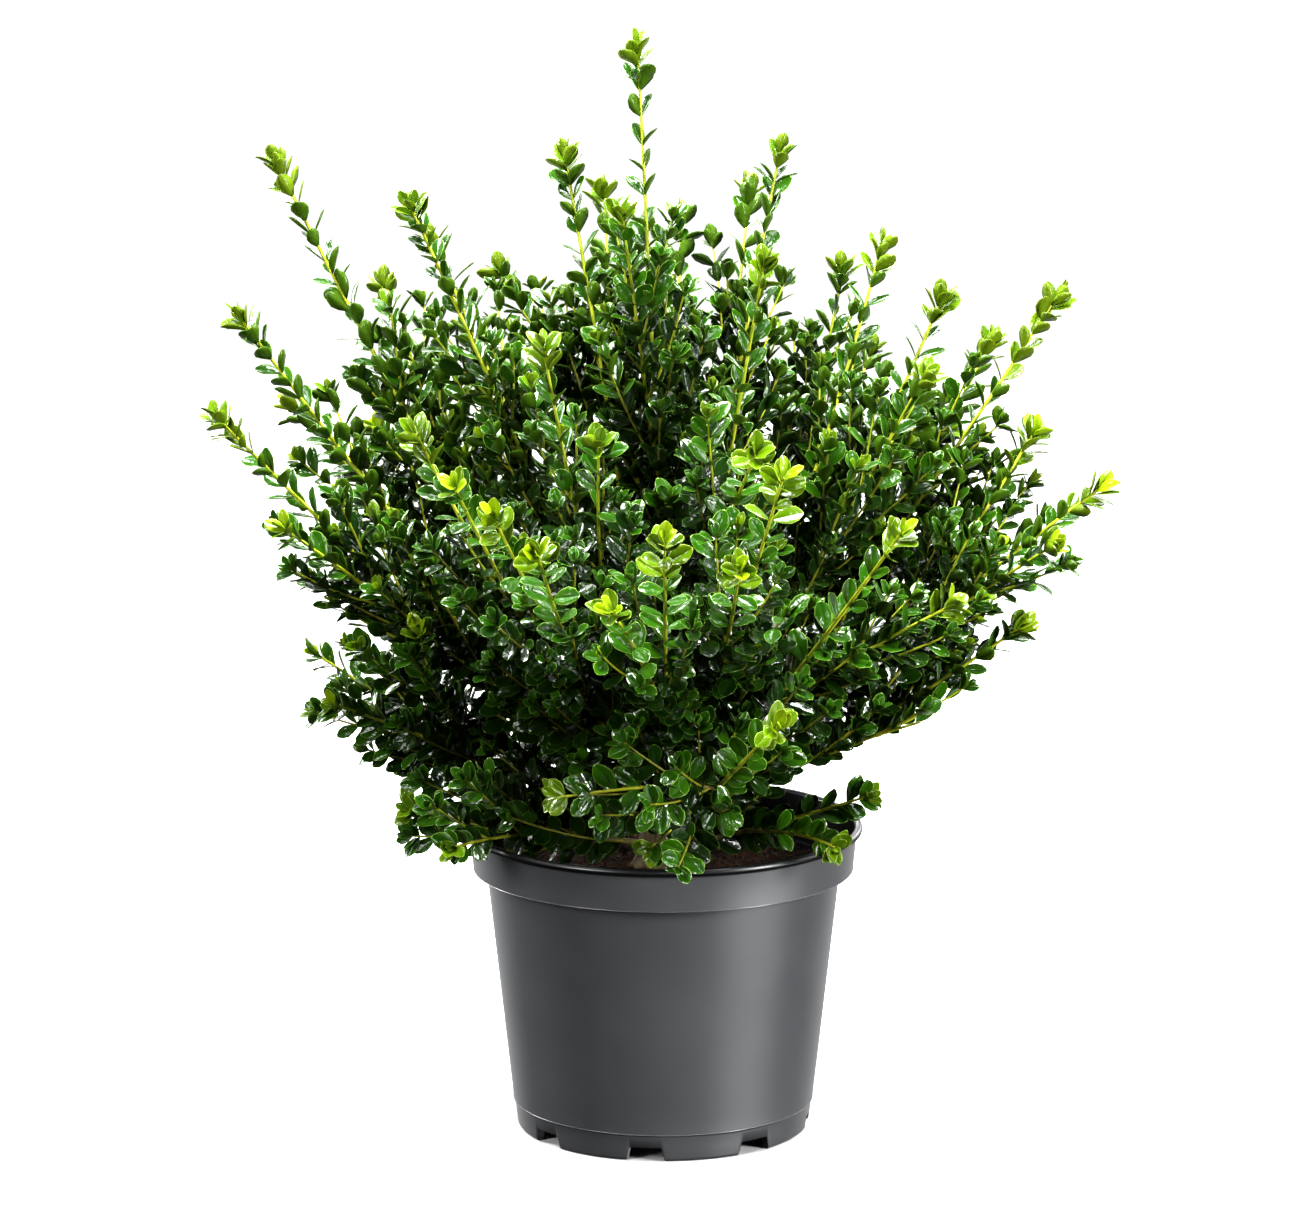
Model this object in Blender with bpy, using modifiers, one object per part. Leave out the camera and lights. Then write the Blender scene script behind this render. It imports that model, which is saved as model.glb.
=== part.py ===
"""A potted compacta Japanese holly, as separate named solids.

A black nursery pot stands on its notched foot and holds a plug of soil. A short
trunk rises from the soil, boughs fan out of it, and each bough carries one mass
of foliage: a stem that forks into long straight shoots, with leaves in opposite
pairs fused to them. The lowest masses grow straight from the trunk.

Metres, +Z up, origin on the floor under the middle of the pot. A bearing is in
degrees seen from above, anticlockwise: 0 is +X, 90 is +Y, and the front of the
plant is at 270.
"""

import math
import random
from collections import namedtuple

import bmesh
import bpy
import numpy as np
from mathutils import Matrix, Vector

SEED = 17
CLEARANCE = 0.0003      # gap that touching pieces keep

# Pot, turned: a rounded lip, a broad band under it, a tapering wall and a notched foot.
POT_HEIGHT = 0.194
LIP_OUTER = 0.1250      # outermost radius of the lip
LIP_ROLL = 0.0026       # radius of the lip's rounded roll
BAND_TOP = 0.1214       # outer radius of the band under the lip
BAND_FOOT = 0.1194      # outer radius of the band at its lower edge
BAND_FOOT_Z = 0.166
WALL_TOP = 0.1108       # outer radius of the wall just under the band
WALL_FOOT = 0.0946      # outer radius of the wall at the seam above the foot
SEAM_Z = 0.0165
SEAM_STEP = 0.0010      # the foot stands back this far under the wall
FOOT_OUTER = 0.0920
FOOT_THICK = 0.0040
FOOT_ROUND = 0.0015
WALL_THICK = 0.0021
FLOOR_Z = 0.0105        # underside of the raised floor
FLOOR_TOP_Z = 0.0130
POT_STEPS = 30

NOTCHES = 8
NOTCH_BEARING = 263.0   # middle of the notch nearest the front
NOTCH_WIDTH = 0.022
NOTCH_HEIGHT = 0.009
NOTCH_DEPTH = 0.030     # across the foot ring, wider than its wall

# Soil, turned: it fills the pot to a little below the band.
SOIL_EDGE_Z = 0.164
SOIL_TOP_Z = 0.169
SOIL_FLAT = 0.045       # radius of the level middle, where the trunk stands
SOIL_ROUND = 0.003      # how far its edges are rounded off

# Trunk: flared at the soil, tapering to a knuckle that the steep boughs stand on.
TRUNK_TOP_Z = 0.228
TRUNK_FLARE = 0.0215
TRUNK_LOW = 0.0160      # radius just above the flare
TRUNK_HIGH = 0.0145     # radius just under the top
TRUNK_FLARE_RISE = 0.010
TRUNK_ROUND = 0.0015
TRUNK_LEAN = 0.04       # sideways run towards +X for each metre of rise
TRUNK_STEPS = 12

# Limbs.
BOUGH_ROOT = 0.0030     # radius where a bough leaves the trunk
BOUGH_TIP = 0.0023      # radius where it meets its mass
STEM_ROOT = 0.0024
SHOOT_ROOT = 0.0016
SHOOT_TIP = 0.0012
TUFT_REACH = 0.016      # a shoot's twig ends this far short of its tip, which is its leaves'
BOUGH_SHARE = 0.22      # share of a limb's length that is bare bough
FORK_SHARE = 0.34       # share of a limb's length where its second shoot leaves
STEEP = 66.0            # limbs steeper than this stand on the trunk's top
TOP_RING = 0.0112       # radius of the ring that they stand on
LOWEST_SEAT_Z = 0.182   # seat of a level limb on the trunk's side
SEAT_RISE = 0.00062     # and how much higher it sits for each degree of slope
HANDLE = 0.38           # reach of a limb's starting direction, as a share of its length
FORK_STEP = 0.12        # and how much further out each later one leaves
SAMPLES = 61            # points along a curve when it is measured
BOUGH_POINTS = 4
SHOOT_POINTS = 5

# Leaves, larger and fewer than the real ones.
LEAF_LENGTH = 0.040
LEAF_WIDTH = 0.0235
LEAF_THICK = 0.0020
LEAF_WIDEST = 0.58      # share of the length where the leaf is widest
LEAF_THICKEST = 0.25    # share of the length where it is thickest
LEAF_SINK = 0.0002      # the leaf starts this far past the twig's axis
LEAF_SPACING = 0.0530   # from one pair to the next
LEAF_SIZES = (1.2, 1.0, 0.85, 0.7, 0.55)
LEAF_SIZE_LOW = 1.25    # the largest a leaf may be at a limb's root, against LEAF_LENGTH
LEAF_SIZE_HIGH = 0.80   # and near its tip
LEAF_ANGLE_LOW = 62.0   # degrees from the twig, at its root
LEAF_ANGLE_HIGH = 42.0  # and near its tip
TUFT_SIZE = 0.58        # the pair at a tip, against a full leaf
TUFT_ANGLE = 24.0
TUFT_SINK = 0.0012      # it grows from this far below the twig's end
TURN_SPREAD = 14.0      # degrees by which a leaf strays round the twig
ANGLE_SPREAD = 7.0      # and by which it strays from its angle to the twig
STEM_LEAVES = BOUGH_SHARE + 0.05    # share of a main curve where its leaves begin
SHOOT_LEAVES = 0.15     # and of another shoot's curve
SPACE_MARGIN = 0.0012   # what a mass keeps from the edge of its space
LIMB_MARGIN = 0.0012
POT_MARGIN = 0.0020

# Every limb: its name, how steeply it starts (degrees) and its tips, the main one first.
# A tip is its bearing, how far out it is from the pot's axis, and its height.
Limb = namedtuple("Limb", "name lift tips")
LIMBS = (
    Limb("leader", 88, ((130, 0.025, 0.680), (235, 0.045, 0.585))),
    Limb("upright_right", 82, ((40, 0.095, 0.610), (65, 0.130, 0.580))),
    Limb("upright_left", 84, ((145, 0.075, 0.610), (110, 0.110, 0.580), (138, 0.140, 0.530))),
    Limb("upright_back", 80, ((85, 0.130, 0.560), (95, 0.190, 0.500))),
    Limb("upright_front_right", 78, ((310, 0.095, 0.560), (290, 0.160, 0.455))),
    Limb("upright_front_left", 60, ((236, 0.130, 0.515), (255, 0.150, 0.460))),
    Limb("tall_left", 70, ((195, 0.160, 0.590), (170, 0.145, 0.560))),
    Limb("high_left", 52, ((166, 0.250, 0.605), (150, 0.205, 0.520))),
    Limb("outer_left", 46, ((180, 0.262, 0.515), (160, 0.250, 0.445))),
    Limb("wide_left", 40, ((195, 0.282, 0.465), (203, 0.250, 0.400))),
    Limb("low_left", 18, ((176, 0.220, 0.300), (192, 0.210, 0.280), (205, 0.165, 0.330))),
    Limb("front_left", 46, ((220, 0.195, 0.465), (234, 0.212, 0.440))),
    Limb("front_mid_left", 42, ((242, 0.215, 0.425), (252, 0.240, 0.410))),
    Limb("front_middle", 44, ((270, 0.245, 0.420), (262, 0.225, 0.375))),
    Limb("front_mid_right", 48, ((290, 0.205, 0.450), (281, 0.230, 0.400))),
    Limb("front_right", 42, ((310, 0.220, 0.412), (329, 0.205, 0.355))),
    Limb("high_right", 60, ((24, 0.150, 0.552), (42, 0.180, 0.475))),
    Limb("upper_right", 58, ((358, 0.172, 0.528), (346, 0.165, 0.485))),
    Limb("outer_right", 48, ((10, 0.250, 0.522), (24, 0.228, 0.485))),
    Limb("wide_right", 42, ((358, 0.272, 0.410), (346, 0.245, 0.382), (5, 0.232, 0.440))),
    Limb("low_right", 26, ((350, 0.225, 0.328), (343, 0.168, 0.270), (8, 0.185, 0.300))),
    Limb("back_right", 46, ((56, 0.225, 0.470), (40, 0.240, 0.420), (50, 0.180, 0.525))),
    Limb("back_middle", 40, ((86, 0.250, 0.410), (102, 0.240, 0.345))),
    Limb("back_left", 46, ((125, 0.220, 0.480), (142, 0.235, 0.420))),
    Limb("back_low_right", 18, ((48, 0.215, 0.320), (70, 0.220, 0.290))),
    Limb("back_low_left", 16, ((138, 0.215, 0.315), (115, 0.215, 0.280))),
)
# The masses over the rim have no bough of their own: their stems start at the trunk.
RIM_LIMBS = (
    Limb("rim_left", 12, ((200, 0.170, 0.216), (220, 0.170, 0.204))),
    Limb("rim_right", 16, ((334, 0.142, 0.226), (313, 0.154, 0.205))),
    Limb("rim_front", 26, ((287, 0.228, 0.305), (266, 0.140, 0.210), (246, 0.165, 0.245))),
)

PLASTIC = ((0.062, 0.062, 0.064), 0.42)
PEAT = ((0.030, 0.016, 0.010), 0.95)
BARK = ((0.105, 0.078, 0.036), 0.80)
BOUGH_BARK = ((0.150, 0.130, 0.045), 0.70)
FOLIAGE = ((0.030, 0.130, 0.016), 0.35)


def new_material(name, look):
    """A Principled material from a base colour and a roughness."""
    colour, roughness = look
    material = bpy.data.materials.new(name)
    material.use_nodes = True
    shader = material.node_tree.nodes["Principled BSDF"]
    shader.inputs["Base Color"].default_value = (*colour, 1.0)
    shader.inputs["Roughness"].default_value = roughness
    shader.inputs["Metallic"].default_value = 0.0
    material.diffuse_color = (*colour, 1.0)
    return material


def new_object(name, mesh, collection, material=None):
    """An object for a mesh, linked to a collection."""
    made = bpy.data.objects.new(name, mesh)
    collection.objects.link(made)
    if material:
        mesh.materials.append(material)
    return made


def evaluated_mesh(source):
    """The mesh that an object's modifiers or curve settings give."""
    depsgraph = bpy.context.evaluated_depsgraph_get()
    return bpy.data.meshes.new_from_object(source.evaluated_get(depsgraph))


def clear_scene():
    """Empty the scene and return the collections for the parts and the helpers."""
    for old in list(bpy.data.objects):
        bpy.data.objects.remove(old, do_unlink=True)
    made = []
    for name in ("potted_holly", "helpers"):
        collection = bpy.data.collections.new(name)
        bpy.context.scene.collection.children.link(collection)
        made.append(collection)
    return made


def turned(name, profile, steps, collection, material):
    """Turn a (radius, height) profile, which starts and ends on the axis, about Z with a Screw."""
    mesh = bpy.data.meshes.new(name)
    points = [(radius, 0.0, height) for radius, height in profile]
    edges = [(i, i + 1) for i in range(len(points) - 1)]
    mesh.from_pydata(points, edges, [])
    made = new_object(name, mesh, collection, material)
    screw = made.modifiers.new("turn", "SCREW")
    screw.steps = steps
    screw.render_steps = steps
    screw.use_merge_vertices = True
    screw.merge_threshold = 0.00001
    return made


def bear(bearing, reach, height):
    """The point at a bearing, a distance from the axis and a height."""
    angle = math.radians(bearing)
    return np.array((reach * math.cos(angle), reach * math.sin(angle), height))


def along(bearing, lift):
    """The unit direction at a bearing, rising by an angle in degrees."""
    rise = math.radians(lift)
    return bear(bearing, math.cos(rise), math.sin(rise))


def unit(vector):
    """A vector made one long."""
    return vector / np.linalg.norm(vector)


def inner_wall(height):
    """Radius of the pot's inside at a height below the band."""
    share = (height - SEAM_Z) / (BAND_FOOT_Z - SEAM_Z)
    return WALL_FOOT + share * (WALL_TOP - WALL_FOOT) - WALL_THICK


def pot_profile():
    """The pot's section from the axis: up its inside, over the lip, down its outside, under it."""
    inside = [
        (0.0, FLOOR_TOP_Z),
        (inner_wall(SEAM_Z) - 2.0 * SEAM_STEP, FLOOR_TOP_Z),
        (inner_wall(SEAM_Z), SEAM_Z),
        (inner_wall(BAND_FOOT_Z), BAND_FOOT_Z),
        (BAND_FOOT - WALL_THICK, BAND_FOOT_Z + WALL_THICK),
    ]
    roll_radius = LIP_OUTER - LIP_ROLL
    roll_z = POT_HEIGHT - LIP_ROLL
    roll = []
    for degrees in (160, 110, 70, 20, -30):
        angle = math.radians(degrees)
        roll.append((roll_radius + LIP_ROLL * math.cos(angle), roll_z + LIP_ROLL * math.sin(angle)))
    outside = [
        (BAND_TOP, roll_z - LIP_ROLL),
        (BAND_FOOT, BAND_FOOT_Z),
        (WALL_TOP, BAND_FOOT_Z - SEAM_STEP),
        (WALL_FOOT, SEAM_Z + SEAM_STEP),
        (WALL_FOOT - SEAM_STEP, SEAM_Z),
        (FOOT_OUTER, FOOT_ROUND),
        (FOOT_OUTER - FOOT_ROUND, 0.0),
    ]
    foot_inner = FOOT_OUTER - FOOT_ROUND - FOOT_THICK
    underside = [(foot_inner, 0.0), (foot_inner + SEAM_STEP, FLOOR_Z), (0.0, FLOOR_Z)]
    return inside + roll + outside + underside


def build_pot(parts, helpers):
    """The pot, with its notches cut from the foot by one joined cutter."""
    plastic = new_material("charcoal_plastic", PLASTIC)
    pot = turned("pot", pot_profile(), POT_STEPS, parts, plastic)
    cutter_mesh = bpy.data.meshes.new("foot_notches")
    shape = bmesh.new()
    for index in range(NOTCHES):
        bearing = NOTCH_BEARING + index * 360.0 / NOTCHES
        turn = Matrix.Rotation(math.radians(bearing), 4, "Z")
        place = turn @ Matrix.Translation((FOOT_OUTER, 0.0, 0.0))
        size = Matrix.Diagonal((NOTCH_DEPTH, NOTCH_WIDTH, 2.0 * NOTCH_HEIGHT, 1.0))
        bmesh.ops.create_cube(shape, size=1.0, matrix=place @ size)
    shape.to_mesh(cutter_mesh)
    shape.free()
    cutter = new_object("foot_notches", cutter_mesh, helpers)
    cutter.hide_render = True
    cutter.display_type = "WIRE"
    cut = pot.modifiers.new("notches", "BOOLEAN")
    cut.operation = "DIFFERENCE"
    cut.solver = "EXACT"
    cut.object = cutter


def build_soil(parts):
    """The soil, a plug that keeps clear of the pot's wall and floor."""
    floor = FLOOR_TOP_Z + CLEARANCE
    edge = SOIL_EDGE_Z - SOIL_ROUND
    profile = [
        (0.0, SOIL_TOP_Z),
        (SOIL_FLAT, SOIL_TOP_Z),
        (inner_wall(SOIL_EDGE_Z) - 2.0 * SOIL_ROUND, SOIL_EDGE_Z),
        (inner_wall(edge) - CLEARANCE, edge),
        (inner_wall(SEAM_Z) - CLEARANCE, SEAM_Z + SEAM_STEP),
        (inner_wall(SEAM_Z) - SOIL_ROUND, floor),
        (0.0, floor),
    ]
    turned("soil", profile, POT_STEPS, parts, new_material("peat_soil", PEAT))


def trunk_axis(height):
    """The middle of the leaning trunk at a height."""
    return np.array((TRUNK_LEAN * (height - SOIL_TOP_Z), 0.0, height))


def trunk_radius(height):
    """The trunk's radius above its flare."""
    share = (height - SOIL_TOP_Z - TRUNK_FLARE_RISE) / (TRUNK_TOP_Z - SOIL_TOP_Z - TRUNK_FLARE_RISE)
    return TRUNK_LOW + min(max(share, 0.0), 1.0) * (TRUNK_HIGH - TRUNK_LOW)


def build_trunk(parts):
    """The trunk, turned upright and then sheared, so that its foot stays flat."""
    foot = SOIL_TOP_Z + CLEARANCE
    profile = [
        (0.0, TRUNK_TOP_Z),
        (TRUNK_HIGH - TRUNK_ROUND, TRUNK_TOP_Z),
        (TRUNK_HIGH, TRUNK_TOP_Z - TRUNK_ROUND),
        (TRUNK_LOW, foot + TRUNK_FLARE_RISE),
        (0.5 * (TRUNK_LOW + TRUNK_FLARE), foot + 0.3 * TRUNK_FLARE_RISE),
        (TRUNK_FLARE, foot),
        (0.0, foot),
    ]
    upright = turned("trunk", profile, TRUNK_STEPS, parts, None)
    mesh = evaluated_mesh(upright)
    mesh.transform(Matrix.Translation((0.0, 0.0, -SOIL_TOP_Z)))
    mesh.transform(Matrix.Shear("XY", 4, (TRUNK_LEAN, 0.0)))
    mesh.transform(Matrix.Translation((0.0, 0.0, SOIL_TOP_Z)))
    bpy.data.objects.remove(upright)
    new_object("trunk", mesh, parts, new_material("trunk_bark", BARK))


def evenly(points, count):
    """A curve's points again, the same distance apart."""
    steps = np.linalg.norm(np.diff(points, axis=0), axis=1)
    travelled = np.concatenate(([0.0], np.cumsum(steps)))
    wanted = np.linspace(0.0, travelled[-1], count)
    return np.stack([np.interp(wanted, travelled, points[:, k]) for k in range(3)], axis=1)


def bend(start, heading, tip):
    """A quadratic Bezier from start, leaving along heading, to just short of tip."""
    reach = HANDLE * np.linalg.norm(tip - start)
    handle = start + reach * unit(heading)
    end = tip - TUFT_REACH * unit(tip - handle)
    t = np.linspace(0.0, 1.0, SAMPLES)[:, None]
    curve = (1 - t) ** 2 * start + 2 * t * (1 - t) * handle + t ** 2 * end
    return evenly(curve, SAMPLES)


def seat(limb, radius):
    """Where a limb starts, just clear of the trunk, and its heading."""
    bearing, reach, height = limb.tips[0]
    slope = math.degrees(math.atan2(height - TRUNK_TOP_Z, reach))
    heading = along(bearing, limb.lift)
    if slope >= STEEP:
        ring = 0.0 if limb.name == "leader" else TOP_RING
        rise = CLEARANCE + radius * math.cos(math.radians(limb.lift))
        start = trunk_axis(TRUNK_TOP_Z) + bear(bearing, ring, rise)
    else:
        level = LOWEST_SEAT_Z + SEAT_RISE * max(slope, 0.0)
        out = trunk_radius(level) + CLEARANCE + radius * math.sin(math.radians(limb.lift))
        start = trunk_axis(level) + bear(bearing, out, 0.0)
    return start, heading


def limb_curves(limb):
    """A limb's main curve from the trunk to its first tip, and those of its other shoots."""
    # A rim limb starts as a three-sided stem, whose flats lie half its radius from its middle.
    start, heading = seat(limb, 0.5 * STEM_ROOT if limb in RIM_LIMBS else BOUGH_ROOT)
    main = bend(start, heading, bear(*limb.tips[0]))
    others = []
    for order, tip in enumerate(limb.tips[1:]):
        fork = int((FORK_SHARE + FORK_STEP * order) * (SAMPLES - 1))
        leave = unit(main[fork + 1] - main[fork])
        target = bear(*tip)
        outward = unit(target - main[fork])
        others.append(bend(main[fork], leave + outward, target))
    return main, others


def tube(name, points, radii, section):
    """A tapering tube along points, as a mesh whose caps are welded on."""
    curve = bpy.data.curves.new(name, "CURVE")
    curve.dimensions = "3D"
    curve.bevel_mode = "OBJECT"
    curve.bevel_object = section
    curve.use_fill_caps = True
    spline = curve.splines.new("POLY")
    spline.points.add(len(points) - 1)
    for point, place, radius in zip(spline.points, points, radii):
        point.co = (*place, 1.0)
        point.radius = radius
    holder = bpy.data.objects.new(name, curve)
    bpy.context.scene.collection.objects.link(holder)
    mesh = evaluated_mesh(holder)
    bpy.data.objects.remove(holder)
    shape = bmesh.new()
    shape.from_mesh(mesh)
    bmesh.ops.remove_doubles(shape, verts=shape.verts, dist=0.00001)
    bmesh.ops.recalc_face_normals(shape, faces=shape.faces)
    shape.to_mesh(mesh)
    shape.free()
    return mesh


def section_guide(name, sides, helpers):
    """A regular polygon of radius 1 that the tubes are swept with."""
    curve = bpy.data.curves.new(name, "CURVE")
    curve.dimensions = "2D"
    spline = curve.splines.new("POLY")
    spline.points.add(sides - 1)
    for index, point in enumerate(spline.points):
        angle = 2.0 * math.pi * (index + 0.25) / sides
        point.co = (math.cos(angle), math.sin(angle), 0.0, 1.0)
    spline.use_cyclic_u = True
    guide = bpy.data.objects.new(name, curve)
    helpers.objects.link(guide)
    guide.hide_render = True
    guide.display_type = "WIRE"
    return guide


def leaf_mesh():
    """One leaf of eight faces: a sphere of four by two, drawn out from its base along +X."""
    shape = bmesh.new()
    bmesh.ops.create_uvsphere(shape, u_segments=4, v_segments=2, radius=1.0)
    for vertex in shape.verts:
        side, lengthwise, upright = vertex.co.y, vertex.co.x, vertex.co.z
        if abs(lengthwise) > 0.5:
            share = 0.5 + 0.5 * lengthwise
        elif abs(side) > 0.5:
            share = LEAF_WIDEST
        else:
            share = LEAF_THICKEST
        vertex.co.x = share * LEAF_LENGTH
        vertex.co.y = 0.5 * side * LEAF_WIDTH
        vertex.co.z = 0.5 * upright * LEAF_THICK
    mesh = bpy.data.meshes.new("leaf")
    shape.to_mesh(mesh)
    shape.free()
    return mesh


def leaf_frame(root, heading, upper, size):
    """The matrix that puts a leaf at root, pointing along heading, its upper face to upper."""
    x = unit(heading)
    z = unit(upper - x * np.dot(upper, x))
    y = np.cross(z, x)
    start = root - LEAF_SINK * x
    rows = [[*(size * np.array((x[k], y[k], z[k]))), start[k]] for k in range(3)]
    return Matrix(rows + [[0.0, 0.0, 0.0, 1.0]])


def leaf_probe():
    """Points on a leaf's outline, middle line and faces, for testing where it reaches."""
    lengthwise = np.array((0.2, 0.4, LEAF_WIDEST, 0.78, 1.0))
    half = np.where(lengthwise <= LEAF_WIDEST, lengthwise / LEAF_WIDEST,
                    (1.0 - lengthwise) / (1.0 - LEAF_WIDEST)) * 0.5 * LEAF_WIDTH
    middle = np.stack([lengthwise * LEAF_LENGTH, 0.0 * half, 0.0 * half], axis=1)
    return np.concatenate([middle + side * np.stack([0.0 * half, half, 0.0 * half], axis=1)
                           for side in (-1.0, 0.0, 1.0)])


def nearest(points, curve):
    """Distance from each point to the nearest sample of a curve."""
    return np.linalg.norm(points[:, None, :] - curve[None, :, :], axis=2).min(axis=1)


def clears_pot(points):
    """Whether all points keep off the pot and the soil."""
    radius = np.hypot(points[:, 0], points[:, 1])
    height = points[:, 2]
    outside = radius > LIP_OUTER + POT_MARGIN
    above = height > POT_HEIGHT + POT_MARGIN
    within = (radius < WALL_TOP) & (height > SOIL_TOP_Z + POT_MARGIN)
    return bool(np.all(outside | above | within))


class Spaces:
    """Each mass's space: all that is nearer to its own limb than to any other limb."""

    def __init__(self, curves):
        self.names = list(curves)
        self.curves = {name: np.concatenate(lines) for name, lines in curves.items()}

    def holds(self, name, points):
        """Whether all points lie in the space of the named mass."""
        own = nearest(points, self.curves[name])
        for other in self.names:
            if other != name and np.any(own + SPACE_MARGIN > nearest(points, self.curves[other])):
                return False
        return True


def clears_limbs(points, boughs):
    """Whether all points keep off the trunk and every bough."""
    low = points[points[:, 2] < TRUNK_TOP_Z + LIMB_MARGIN]
    trunk_middle = TRUNK_LEAN * (low[:, 2] - SOIL_TOP_Z)
    if np.any(np.hypot(low[:, 0] - trunk_middle, low[:, 1]) < TRUNK_FLARE + LIMB_MARGIN):
        return False
    return all(np.all(nearest(points, line) > BOUGH_ROOT + LIMB_MARGIN) for line in boughs)


def leaf_places(name, shoot, first, spaces, boughs, chance):
    """Matrices of the leaves that fit along one shoot, from the share first to its tip."""
    length = np.linalg.norm(np.diff(shoot, axis=0), axis=1).sum()
    pairs = max(2, round(length * (1.0 - first) / LEAF_SPACING))
    turn = chance.uniform(0.0, 90.0)
    probe = leaf_probe()
    made = []
    for pair in range(pairs + 1):
        is_tuft = pair == pairs
        share = first + (1.0 - first) * (pair + 0.5) / pairs
        if is_tuft:
            share = 1.0 - TUFT_SINK / length
        place = share * (SAMPLES - 1)
        low = min(int(place), SAMPLES - 2)
        root = shoot[low] + (place - low) * (shoot[low + 1] - shoot[low])
        twig = unit(shoot[low + 1] - shoot[low])
        side = unit(np.cross(twig, (0.31, 0.17, 0.93)))
        lean = TUFT_ANGLE if is_tuft else LEAF_ANGLE_LOW + share * (LEAF_ANGLE_HIGH - LEAF_ANGLE_LOW)
        for half in (0, 1):
            stray = chance.uniform(-TURN_SPREAD, TURN_SPREAD)
            around = math.radians(turn + 90.0 * pair + 180.0 * half + stray)
            outward = side * math.cos(around) + np.cross(twig, side) * math.sin(around)
            tilt = math.radians(lean + chance.uniform(-ANGLE_SPREAD, ANGLE_SPREAD))
            heading = twig * math.cos(tilt) + outward * math.sin(tilt)
            largest = LEAF_SIZE_LOW + share * (LEAF_SIZE_HIGH - LEAF_SIZE_LOW)
            for size in LEAF_SIZES:
                scale = TUFT_SIZE * size if is_tuft else min(size, largest)
                matrix = leaf_frame(root, heading, twig, scale)
                reached = np.array([matrix @ Vector(point) for point in probe])
                fits = spaces.holds(name, reached) and clears_limbs(reached, boughs)
                if fits and clears_pot(reached):
                    made.append(matrix)
                    break
    return made


def fused(name, meshes, leaves, leaf, parts, material):
    """One closed solid from a mass's twigs and leaves, by one union on a collection."""
    pieces = bpy.data.collections.new(name + "_pieces")
    bpy.context.scene.collection.children.link(pieces)
    for mesh in meshes[1:]:
        new_object(name + "_shoot", mesh, pieces)
    for matrix in leaves:
        new_object(name + "_leaf", leaf, pieces).matrix_world = matrix
    body = new_object(name, meshes[0], parts)
    union = body.modifiers.new("fuse", "BOOLEAN")
    union.operation = "UNION"
    union.operand_type = "COLLECTION"
    union.collection = pieces
    for solver, cutting in (("EXACT", "BEAUTY"), ("EXACT", "EAR_CLIP"), ("MANIFOLD", "BEAUTY")):
        union.solver = solver
        mesh = evaluated_mesh(body)
        if keep_outer_shell(mesh, cutting):
            break
    for piece in list(pieces.objects):
        bpy.data.objects.remove(piece)
    bpy.data.collections.remove(pieces)
    bpy.data.objects.remove(body)
    mesh.materials.clear()
    return new_object(name, mesh, parts, material)


def keep_outer_shell(mesh, cutting):
    """Cut a fused mesh into triangles, drop its sealed hollows and scraps, say if it is closed."""
    shape = bmesh.new()
    shape.from_mesh(mesh)
    bmesh.ops.remove_doubles(shape, verts=shape.verts, dist=0.000002)
    bmesh.ops.dissolve_degenerate(shape, edges=shape.edges, dist=0.000002)
    bmesh.ops.triangulate(shape, faces=shape.faces, ngon_method=cutting)
    unseen = set(shape.faces)
    shells = []
    while unseen:
        shell = [unseen.pop()]
        for face in shell:
            for edge in face.edges:
                for other in edge.link_faces:
                    if other in unseen:
                        unseen.remove(other)
                        shell.append(other)
        shells.append(shell)
    shells.sort(key=len)
    for shell in shells[:-1]:
        bmesh.ops.delete(shape, geom=shell, context="FACES")
    closed = all(edge.is_contiguous for edge in shape.edges)
    shape.to_mesh(mesh)
    shape.free()
    return closed


def build_plant(parts, helpers):
    """The boughs and the foliage masses."""
    bough_section = section_guide("bough_section", 6, helpers)
    twig_section = section_guide("twig_section", 3, helpers)
    bough_bark = new_material("bough_bark", BOUGH_BARK)
    green = new_material("holly_foliage", FOLIAGE)
    leaf = leaf_mesh()
    every_limb = LIMBS + RIM_LIMBS
    curves = {}
    for limb in every_limb:
        main, others = limb_curves(limb)
        curves[limb.name] = [main] + others
    spaces = Spaces(curves)
    end = int(BOUGH_SHARE * (SAMPLES - 1))
    boughs = {limb.name: curves[limb.name][0][:end + 1] for limb in LIMBS}

    for order, limb in enumerate(every_limb):
        main, others = curves[limb.name][0], curves[limb.name][1:]
        stem = main
        if limb.name in boughs:
            bough = evenly(boughs[limb.name], BOUGH_POINTS)
            radii = np.linspace(BOUGH_ROOT, BOUGH_TIP, BOUGH_POINTS)
            mesh = tube("bough_" + limb.name, bough, radii, bough_section)
            new_object("bough_" + limb.name, mesh, parts, bough_bark)
            stem = main[end:].copy()
            stem[0] += CLEARANCE * unit(stem[1] - stem[0])
        shoots = [evenly(stem, SHOOT_POINTS)] + [evenly(other, SHOOT_POINTS) for other in others]
        meshes = []
        for shoot in shoots:
            root = STEM_ROOT if shoot is shoots[0] else SHOOT_ROOT
            radii = np.linspace(root, SHOOT_TIP, SHOOT_POINTS)
            meshes.append(tube("twig", shoot, radii, twig_section))
        chance = random.Random(SEED + order)
        near = list(boughs.values())
        leaves = leaf_places(limb.name, main, STEM_LEAVES, spaces, near, chance)
        for other in others:
            leaves += leaf_places(limb.name, other, SHOOT_LEAVES, spaces, near, chance)
        fused("foliage_" + limb.name, meshes, leaves, leaf, parts, green)
        print(limb.name, "leaves", len(leaves))


def main():
    """Build the whole potted plant."""
    parts, helpers = clear_scene()
    build_pot(parts, helpers)
    build_soil(parts)
    build_trunk(parts)
    build_plant(parts, helpers)


main()
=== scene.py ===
# %% [markdown]
# # A compacta Japanese holly in its nursery pot
#
# This lesson dresses a plain model of a potted shrub. The model gives the real sizes and
# the limbs that the crown grows on. Everything that shows is made here from numpy arrays:
# a shape is a function of two numbers on a grid, or a profile carried along a path, and
# the finished arrays go into a mesh in one step.

import math

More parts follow.
